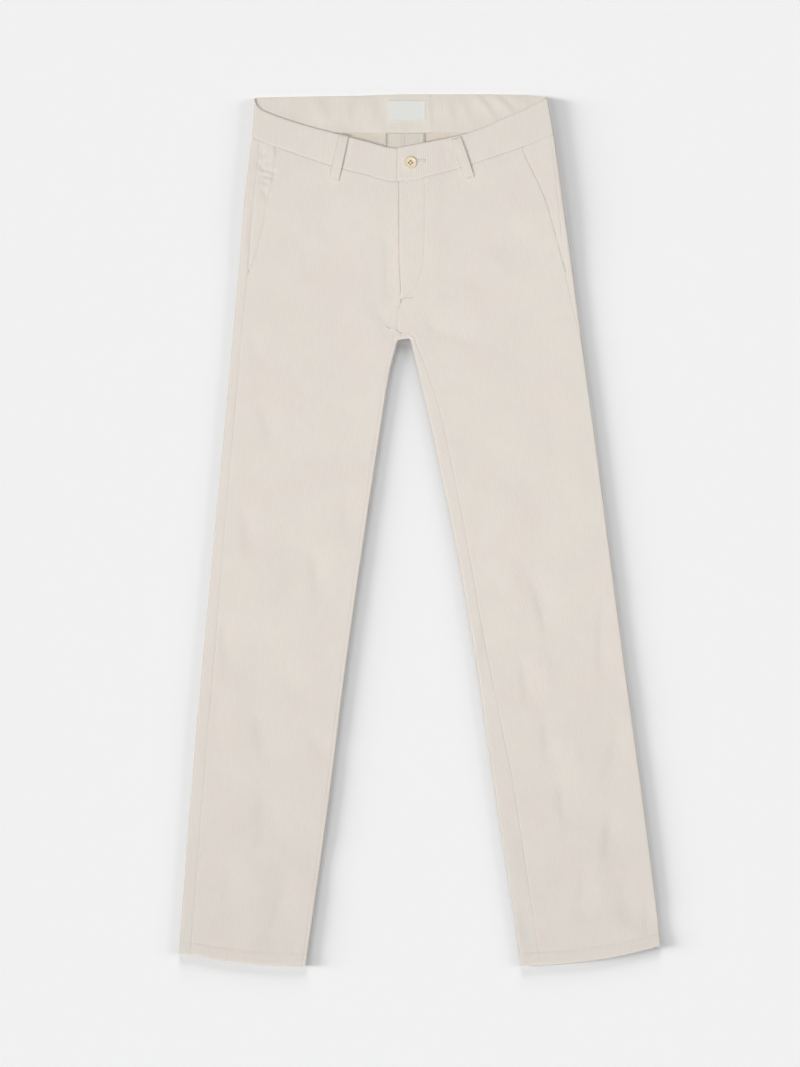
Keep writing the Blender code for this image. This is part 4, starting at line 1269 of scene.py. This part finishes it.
def button_disc(settings):
    """Turned disc with a raised rim and four holes, as one closed mesh."""
    size = BUTTON
    profile = [(0.0, 0.0), (0.70, 0.0), (0.86, 0.03), (0.95, 0.12), (0.99, 0.26), (1.0, 0.42), (0.99, 0.62),
               (0.965, 0.8), (0.93, 0.92), (0.88, 0.985), (0.83, 1.0), (0.78, 0.975), (0.73, 0.9), (0.69, 0.8),
               (0.64, 0.745), (0.56, 0.72), (0.4, 0.7), (0.2, 0.69), (0.0, 0.685)]
    base = base_of_button()
    bm = bmesh.new()
    verts = [bm.verts.new((share * size["radius"] * MM, 0.0, up * size["rim"] * MM)) for share, up in profile]
    ends = [bm.edges.new(pair) for pair in zip(verts, verts[1:])]
    bmesh.ops.spin(bm, geom=verts + ends, cent=(0.0, 0.0, 0.0), axis=(0.0, 0.0, 1.0), angle=math.tau,
                   steps=72, use_merge=True)
    bmesh.ops.remove_doubles(bm, verts=bm.verts[:], dist=0.00001)
    bmesh.ops.recalc_face_normals(bm, faces=bm.faces[:])
    bmesh.ops.transform(bm, matrix=Matrix.Translation(base), verts=bm.verts[:])
    disc = link("waist_button", bm, cast_polyester(settings))
    for index, spot in enumerate(hole_places()):
        bm = bmesh.new()
        bmesh.ops.create_cone(bm, cap_ends=True, segments=24, radius1=size["hole"] * MM,
                              radius2=size["hole"] * MM, depth=4.0 * size["rim"] * MM,
                              matrix=Matrix.Translation(base + spot))
        cutter = link(f"hole_cutter_{index}", bm, disc.data.materials[0])
        cut = disc.modifiers.new("Hole", 'BOOLEAN')
        cut.operation, cut.object, cut.solver = 'DIFFERENCE', cutter, 'EXACT'
        bpy.context.view_layer.update()
        made = bpy.data.meshes.new_from_object(disc.evaluated_get(bpy.context.evaluated_depsgraph_get()))
        disc.modifiers.clear()
        disc.data = made
        bpy.data.objects.remove(cutter)
    rims = disc.modifiers.new("Rounded holes", 'BEVEL')
    rims.width = 0.15 * MM
    rims.segments = 2
    rims.limit_method = 'ANGLE'
    rims.angle_limit = math.radians(50.0)
    return disc


def base_of_button():
    size = BUTTON
    level = topside(size["y"]) + lap_lift(size["x"], size["y"], BAND_WALL) + LAYER_GAP
    return Vector((size["x"], size["y"], level)) * MM


def hole_places():
    """Holes above, below and beside the middle."""
    reach = BUTTON["pitch"] / math.sqrt(2.0) * MM
    return [Vector((reach * math.cos(turn), reach * math.sin(turn), 0.0)) for turn in spread(0.0, 1.5 * math.pi, 3)]


# Operators

class PieceOperator:
    """What the operators share."""
    bl_options = {'REGISTER', 'UNDO'}


class TROUSERS_OT_materials(PieceOperator, bpy.types.Operator):
    """Makes the cloth, thread, label and button materials."""
    bl_idname = "trousers.materials"
    bl_label = "Materials"

    def execute(self, context):
        cloth, trims = context.scene.trousers_cloth, context.scene.trousers_trims
        corduroy("fine_wale_cotton_corduroy", cloth.face, cloth)
        # The second corduroy, in the pressed face colour, is painted shade for the seat outlets.
        corduroy("seat_shade_cotton_corduroy", cloth.pressed, cloth)
        plain_back(cloth)
        facing_twill(cloth)
        satin_tape(trims)
        sewing_thread("core_spun_thread", trims.thread)
        sewing_thread("brown_button_thread", trims.button_thread)
        # The overlock thread is dark partly as thread and partly as painted shade along the outlet edges.
        sewing_thread("overlock_thread_and_shade", trims.overlock)
        return {'FINISHED'}


class TROUSERS_OT_panels(PieceOperator, bpy.types.Operator):
    """Makes the fronts and backs of both legs."""
    bl_idname = "trousers.panels"
    bl_label = "Fronts and backs"

    def execute(self, context):
        face, lining = cloth_materials()
        for seed, leg in enumerate(LEGS):
            rows = leg_rows(leg)
            grain = LEGS[leg]["grain"]
            mouth = POCKET_EDGE[leg][0][0]
            centre = ("seam", FLY_BOTTOM, "fold") if leg == "left" else "seam"
            back = add_cloth(f"{leg}_back_panel", back_grid(leg, rows), WALL, face, grain, hem=True,
                             edges={"start": "seam", "end": "seam", "high": "waist"}, seed=seed + 3.0,
                             lining=lining)
            front = add_cloth(f"{leg}_front_panel", front_grid(leg, rows), WALL, face, grain, hem=True,
                              edges={"start": ("seam", mouth, "mouth" if leg == "right" else "fold"), "end": centre,
                                     "high": "waist"},
                              seed=seed + 7.0, lining=lining)
            stand_for(back, "corduroy", f"back_{leg}")
            stand_for(front, "corduroy", f"front_{leg}")
        return {'FINISHED'}


class TROUSERS_OT_pockets(PieceOperator, bpy.types.Operator):
    """Makes the facings in the slanted pocket mouths."""
    bl_idname = "trousers.pockets"
    bl_label = "Pocket facings"

    def execute(self, context):
        face, lining = cloth_materials()
        for leg in LEGS:
            facing = add_cloth(f"{leg}_pocket_facing", pocket_grid(leg, leg_rows(leg)), WALL, face,
                               LEGS[leg]["grain"], edges={"start": "seam"}, lining=lining)
            stand_for(facing, "corduroy", f"pocket_facing_{leg}")
        return {'FINISHED'}


class TROUSERS_OT_waistband(PieceOperator, bpy.types.Operator):
    """Makes both halves of the waistband and the facing inside the back."""
    bl_idname = "trousers.waistband"
    bl_label = "Waistband"

    def execute(self, context):
        face, lining = cloth_materials()
        for seed, leg in enumerate(LEGS):
            band = add_cloth(f"{leg}_waistband", band_grid(leg), BAND_WALL, face, seed=seed + 11.0,
                             edges={"start": "seam", "end": "fold", "low": "waist", "high": "fold"},
                             lining=lining)
            stand_for(band, "corduroy", f"waistband_{leg}")
        twill = bpy.data.materials["fine_cotton_twill"]
        facing = add_cloth("back_waist_facing", facing_grid(), INNER_WALL, twill, up_facing=True, inside=True,
                           edges={"low": "fold", "high": "fold"}, seed=14.0)
        stand_for(facing, "facing_cloth", "waistband_facing")
        return {'FINISHED'}


class TROUSERS_OT_inside(PieceOperator, bpy.types.Operator):
    """Makes the seat's seam allowances and the shield behind the fly."""
    bl_idname = "trousers.inside"
    bl_label = "Seat outlets and fly shield"

    def execute(self, context):
        face, lining = cloth_materials()
        # The seat outlets take the darker corduroy: painted shade for their place deep inside the waist.
        pressed = bpy.data.materials["seat_shade_cotton_corduroy"]
        for leg in LEGS:
            outlet = add_cloth(f"{leg}_seat_outlet", outlet_grid(leg), INNER_WALL, pressed, up_facing=True,
                               inside=True, edges={"start": "fold", "end": "seam"}, seed=16.0)
            stand_for(outlet, "corduroy", f"seat_outlet_{leg}")
        shield = add_cloth("fly_shield_strip", shield_grid(), WALL, face, lining=lining)
        stand_for(shield, "corduroy", "fly_shield")
        return {'FINISHED'}


class TROUSERS_OT_belt_loops(PieceOperator, bpy.types.Operator):
    """Makes the five belt loops."""
    bl_idname = "trousers.belt_loops"
    bl_label = "Belt loops"

    def execute(self, context):
        face = cloth_materials()[0]
        for leg in LEGS:
            loop = add_cloth(f"{leg}_front_belt_loop", front_loop_grid(leg), WALL, face, rounding=LOOP_ROUNDING)
            stand_for(loop, "corduroy", f"belt_loop_front_{leg}")
        for place, x in BACK_LOOPS.items():
            loop = add_cloth(f"{place}_back_belt_loop", back_loop_grid(x), WALL, face, rounding=LOOP_ROUNDING)
            stand_for(loop, "corduroy", f"belt_loop_back_{place}")
        return {'FINISHED'}


class TROUSERS_OT_label(PieceOperator, bpy.types.Operator):
    """Makes the bare label inside the back waistband."""
    bl_idname = "trousers.label"
    bl_label = "Label"

    def execute(self, context):
        tape = bpy.data.materials["woven_polyester_satin_tape"]
        label = add_cloth("woven_label", label_grid(), INNER_WALL, tape, up_facing=True, inside=True,
                          edges={"start": "fold", "end": "fold"}, seed=18.0)
        stand_for(label, "label_tape", "label")
        return {'FINISHED'}


class TROUSERS_OT_button(PieceOperator, bpy.types.Operator):
    """Makes the button and the thread that holds it."""
    bl_idname = "trousers.button"
    bl_label = "Button"

    def execute(self, context):
        trims = context.scene.trousers_trims
        stand_for(button_disc(trims), "button_resin", "button")
        bm = bmesh.new()
        top = base_of_button() + Vector((0.0, 0.0, BUTTON["rim"] * 0.69 * MM))
        holes = [top + spot for spot in hole_places()]
        for start, end in zip(holes, holes[1:] + holes[:1]):
            side = (end - start).normalized().orthogonal() * 0.15 * MM
            for shift in (side, -side):
                add_stitch(bm, start + shift, end + shift, Vector((0.0, 0.0, 1.0)), 0.0005)
        for spot in hole_places():
            foot = base_of_button() + spot
            bmesh.ops.create_cone(bm, segments=10, radius1=0.0006, radius2=0.0006, depth=0.0026,
                                  matrix=Matrix.Translation(foot + Vector((0.0, 0.0, 0.0006))))
        stand_for(link("button_sewing", bm, bpy.data.materials["brown_button_thread"]), "button_resin")
        return {'FINISHED'}


class TROUSERS_OT_sewing(PieceOperator, bpy.types.Operator):
    """Sews the hems, fly, bar tacks, label and buttonhole."""
    bl_idname = "trousers.sewing"
    bl_label = "Sewing"

    def execute(self, context):
        trims = context.scene.trousers_trims
        thread = bpy.data.materials["core_spun_thread"]
        runs = {}
        for leg in LEGS:
            runs[f"{leg}_hem_stitches"] = bm = bmesh.new()
            for up in (True, False):
                sew_line(bm, hem_line(leg), trims, up)
        runs["fly_stitches"] = bm = bmesh.new()
        sew_line(bm, FLY_STITCHES, trims)
        runs["bar_tacks"] = bm = bmesh.new()
        sew_bar(bm, (-23.0, 302.0), (-9.0, 302.6), 2.0, trims)
        for leg in LEGS:
            top, bottom = (Vector(end) for end in FRONT_LOOPS[leg])
            run = (bottom - top).normalized()
            side = Vector((-run.y, run.x)) * (LOOP_WIDTH / 2.0 - 1.0)
            for end in (top + run * 2.0, bottom - run * 2.0):
                sew_bar(bm, end - side, end + side, 1.6, trims)
        for x in BACK_LOOPS.values():
            for y in (BACK_LOOP_Y[0] - 2.0, BACK_LOOP_Y[1] + 2.0):
                sew_bar(bm, (x - 5.2, y), (x + 5.2, y), 1.6, trims, False)
        # Overlock stitches along the outlets' free edges: real stitching, whose darkness is partly painted shade
        # along those edges.
        runs["outlet_overlock"] = bm = bmesh.new()
        for leg in LEGS:
            for low, high in zip(spread(OUTLET["bottom"] + 2.0, OUTLET["top"] - 1.0, 30),
                                 spread(OUTLET["bottom"] + 2.0, OUTLET["top"] - 1.0, 30)[1:]):
                ends = [(outlet_edge(leg, y) + LEGS[leg]["toward"] * 1.35, y) for y in (low, high)]
                sew_bar(bm, *ends, 2.4, trims, spacing=1.5, piece=f"{leg}_seat_outlet")
        runs["label_stitches"] = bm = bmesh.new()
        for x in (LABEL["x"][0] + 1.2, LABEL["x"][1] - 1.2):
            sew_line(bm, [(x, LABEL["y"][0] + 0.8), (x, LABEL["y"][1] - 0.8)], trims)
        runs["buttonhole"] = bm = bmesh.new()
        hole = BUTTONHOLE
        for side in (-1.0, 1.0):
            y = hole["y"] + side * hole["side"]
            sew_bar(bm, (hole["x"][0], y), (hole["x"][1], y), 1.5, trims)
        sew_bar(bm, (hole["x"][1] + 0.6, hole["y"] - 1.9), (hole["x"][1] + 0.6, hole["y"] + 1.9), 1.6, trims)
        # Its dark colour is partly painted shade along the outlet edges.
        overlock = bpy.data.materials["overlock_thread_and_shade"]
        for name, bm in runs.items():
            stand_for(link(name, bm, overlock if name == "outlet_overlock" else thread), "corduroy")
        return {'FINISHED'}


class TROUSERS_OT_stage(PieceOperator, bpy.types.Operator):
    """Makes the floor, the lights and the camera."""
    bl_idname = "trousers.stage"
    bl_label = "Stage"

    def execute(self, context):
        scene = context.scene
        settings = scene.trousers_stage
        bm = bmesh.new()
        bmesh.ops.create_grid(bm, x_segments=1, y_segments=1, size=settings.floor_size / 2.0)
        floor = link("floor", bm, studio_paper(settings))
        floor.location.z = -FLOOR_DROP
        world = scene.world or bpy.data.worlds.new("studio")
        scene.world = world
        world.use_nodes = True
        sky = world.node_tree.nodes["Background"]
        sky.inputs["Color"].default_value = (1.0, 1.0, 1.0, 1.0)
        sky.inputs["Strength"].default_value = settings.fill
        only_floor = bpy.data.collections.new("lit_floor")
        only_floor.objects.link(floor)
        all_but_floor = bpy.data.collections.new("lit_cloth")
        all_but_floor.objects.link(floor)
        all_but_floor.collection_objects[0].light_linking.link_state = 'EXCLUDE'
        lit = {"floor": only_floor, "cloth": all_but_floor}
        for name, (azimuth, elevation, spread_angle, share, receives) in SUNS.items():
            lamp = add_light(name, 'SUN', direction(azimuth, elevation), share * settings.power)
            lamp.data.angle = math.radians(spread_angle)
            lamp.light_linking.receiver_collection = lit[receives]
        lamp = add_light("upper_light", 'AREA', Vector((0.0, 0.0, 1.0)), UPPER_LIGHT["share"] * settings.power)
        lamp.data.shape = 'RECTANGLE'
        lamp.data.size, lamp.data.size_y = UPPER_LIGHT["size"]
        lamp.location = UPPER_LIGHT["place"]
        lamp.visible_camera = False
        lamp.light_linking.receiver_collection = all_but_floor
        camera = bpy.data.objects.new("camera", bpy.data.cameras.new("camera"))
        scene.collection.objects.link(camera)
        camera.data.lens = settings.lens
        camera.data.sensor_width = SENSOR
        distance = PICTURE[1] * PIXEL * MM * settings.lens / SENSOR
        camera.location = (FRAMED[0] * MM, FRAMED[1] * MM, distance + LEG_HEIGHT * MM)
        camera.data.clip_end = 100.0
        scene.camera = camera
        scene.view_settings.view_transform = 'Standard'
        return {'FINISHED'}


# Soft lights far off: azimuth and elevation, angular size, share of the power, what they light.
# The low ones light the floor alone, so that the thin garment still draws a long soft shadow on it.
SUNS = {
    "key": (213.0, 50.0, 22.0, 0.39, "cloth"),
    "overhead": (90.0, 88.0, 60.0, 0.48, "cloth"),
    "hems": (-90.0, 10.0, 30.0, 0.22, "cloth"),
    "floor_left": (177.0, 11.5, 17.0, 1.6, "floor"),
    "floor_left_high": (178.0, 35.0, 36.0, 0.3, "floor"),
    "floor_right": (5.0, 16.0, 22.0, 0.5, "floor"),
    "floor_right_high": (5.0, 50.0, 40.0, 0.13, "floor"),
    "floor_waist": (90.0, 15.0, 22.0, 0.68, "floor"),
    "floor_hem": (-90.0, 24.0, 24.0, 0.1, "floor"),
}

# A broad light close above the hips
UPPER_LIGHT = {"place": (-0.02, 0.12, 0.4), "size": (2.0, 1.0), "share": 0.25}
FLOOR_DROP = 0.0003         # the floor lies this far below, clear of the cloth


def direction(azimuth, elevation):
    """Unit vector towards a place on the sky, in degrees."""
    turn, tall = math.radians(azimuth), math.radians(elevation)
    return Vector((math.cos(turn) * math.cos(tall), math.sin(turn) * math.cos(tall), math.sin(tall)))


def add_light(name, kind, towards, strength):
    """Light that shines from a direction on the middle of the garment."""
    data = bpy.data.lights.new(name, kind)
    data.energy = strength
    lamp = bpy.data.objects.new(name, data)
    bpy.context.scene.collection.objects.link(lamp)
    lamp.location = towards * 4.0
    lamp.rotation_mode = 'QUATERNION'
    lamp.rotation_quaternion = towards.to_track_quat('Z', 'Y')
    return lamp


def hem_line(leg):
    """Line of the hem's stitching across a leg."""
    size = LEGS[leg]
    y = LEG_BOTTOM + HEM_DEPTH - 1.5
    tilt = size["hem_tilt"] * (LEG_TOP - y) / (LEG_TOP - LEG_BOTTOM)
    bow = size["hem_bow"] * (1.0 - (y - LEG_BOTTOM) / BOW_REACH)
    start = Vector((read(SIDE_FOLD[leg], 1, y + tilt) + size["toward"] * 1.5, y + tilt))
    end = Vector((read(INNER_FOLD[leg], 1, y) - size["toward"] * 1.5, y))
    line = []
    for share in spread(0.0, 1.0, 24):
        at = start.lerp(end, share)
        line.append((at.x, at.y - bow * 4.0 * share * (1.0 - share)))
    return line


def cloth_materials():
    return bpy.data.materials["fine_wale_cotton_corduroy"], bpy.data.materials["plain_woven_cotton_back"]


class TROUSERS_PT_panel(bpy.types.Panel):
    """Lists the pieces and their settings."""
    bl_label = "Corduroy trousers"
    bl_space_type = 'VIEW_3D'
    bl_region_type = 'UI'
    bl_category = "Trousers"

    def draw(self, context):
        for settings in (context.scene.trousers_cloth, context.scene.trousers_trims, context.scene.trousers_stage):
            box = self.layout.box()
            for name in settings.bl_rna.properties.keys():
                if name not in ("rna_type", "name"):
                    box.prop(settings, name)
        for step in STEPS:
            self.layout.operator(step.bl_idname)


SETTINGS = {
    "trousers_cloth": TROUSERS_PG_cloth,
    "trousers_trims": TROUSERS_PG_trims,
    "trousers_stage": TROUSERS_PG_stage,
}
STEPS = (TROUSERS_OT_materials, TROUSERS_OT_panels, TROUSERS_OT_pockets, TROUSERS_OT_waistband,
         TROUSERS_OT_inside, TROUSERS_OT_belt_loops, TROUSERS_OT_label, TROUSERS_OT_button,
         TROUSERS_OT_sewing, TROUSERS_OT_stage)


def register():
    for made in (*SETTINGS.values(), *STEPS, TROUSERS_PT_panel):
        bpy.utils.register_class(made)
    for name, group in SETTINGS.items():
        setattr(bpy.types.Scene, name, PointerProperty(type=group))


def unregister():
    for name in SETTINGS:
        delattr(bpy.types.Scene, name)
    for made in (TROUSERS_PT_panel, *STEPS[::-1], *list(SETTINGS.values())[::-1]):
        bpy.utils.unregister_class(made)


def main():
    register()
    for step in STEPS:
        group, name = step.bl_idname.split(".")
        getattr(getattr(bpy.ops, group), name)()
    bpy.context.view_layer.update()


if __name__ == "__main__":
    main()
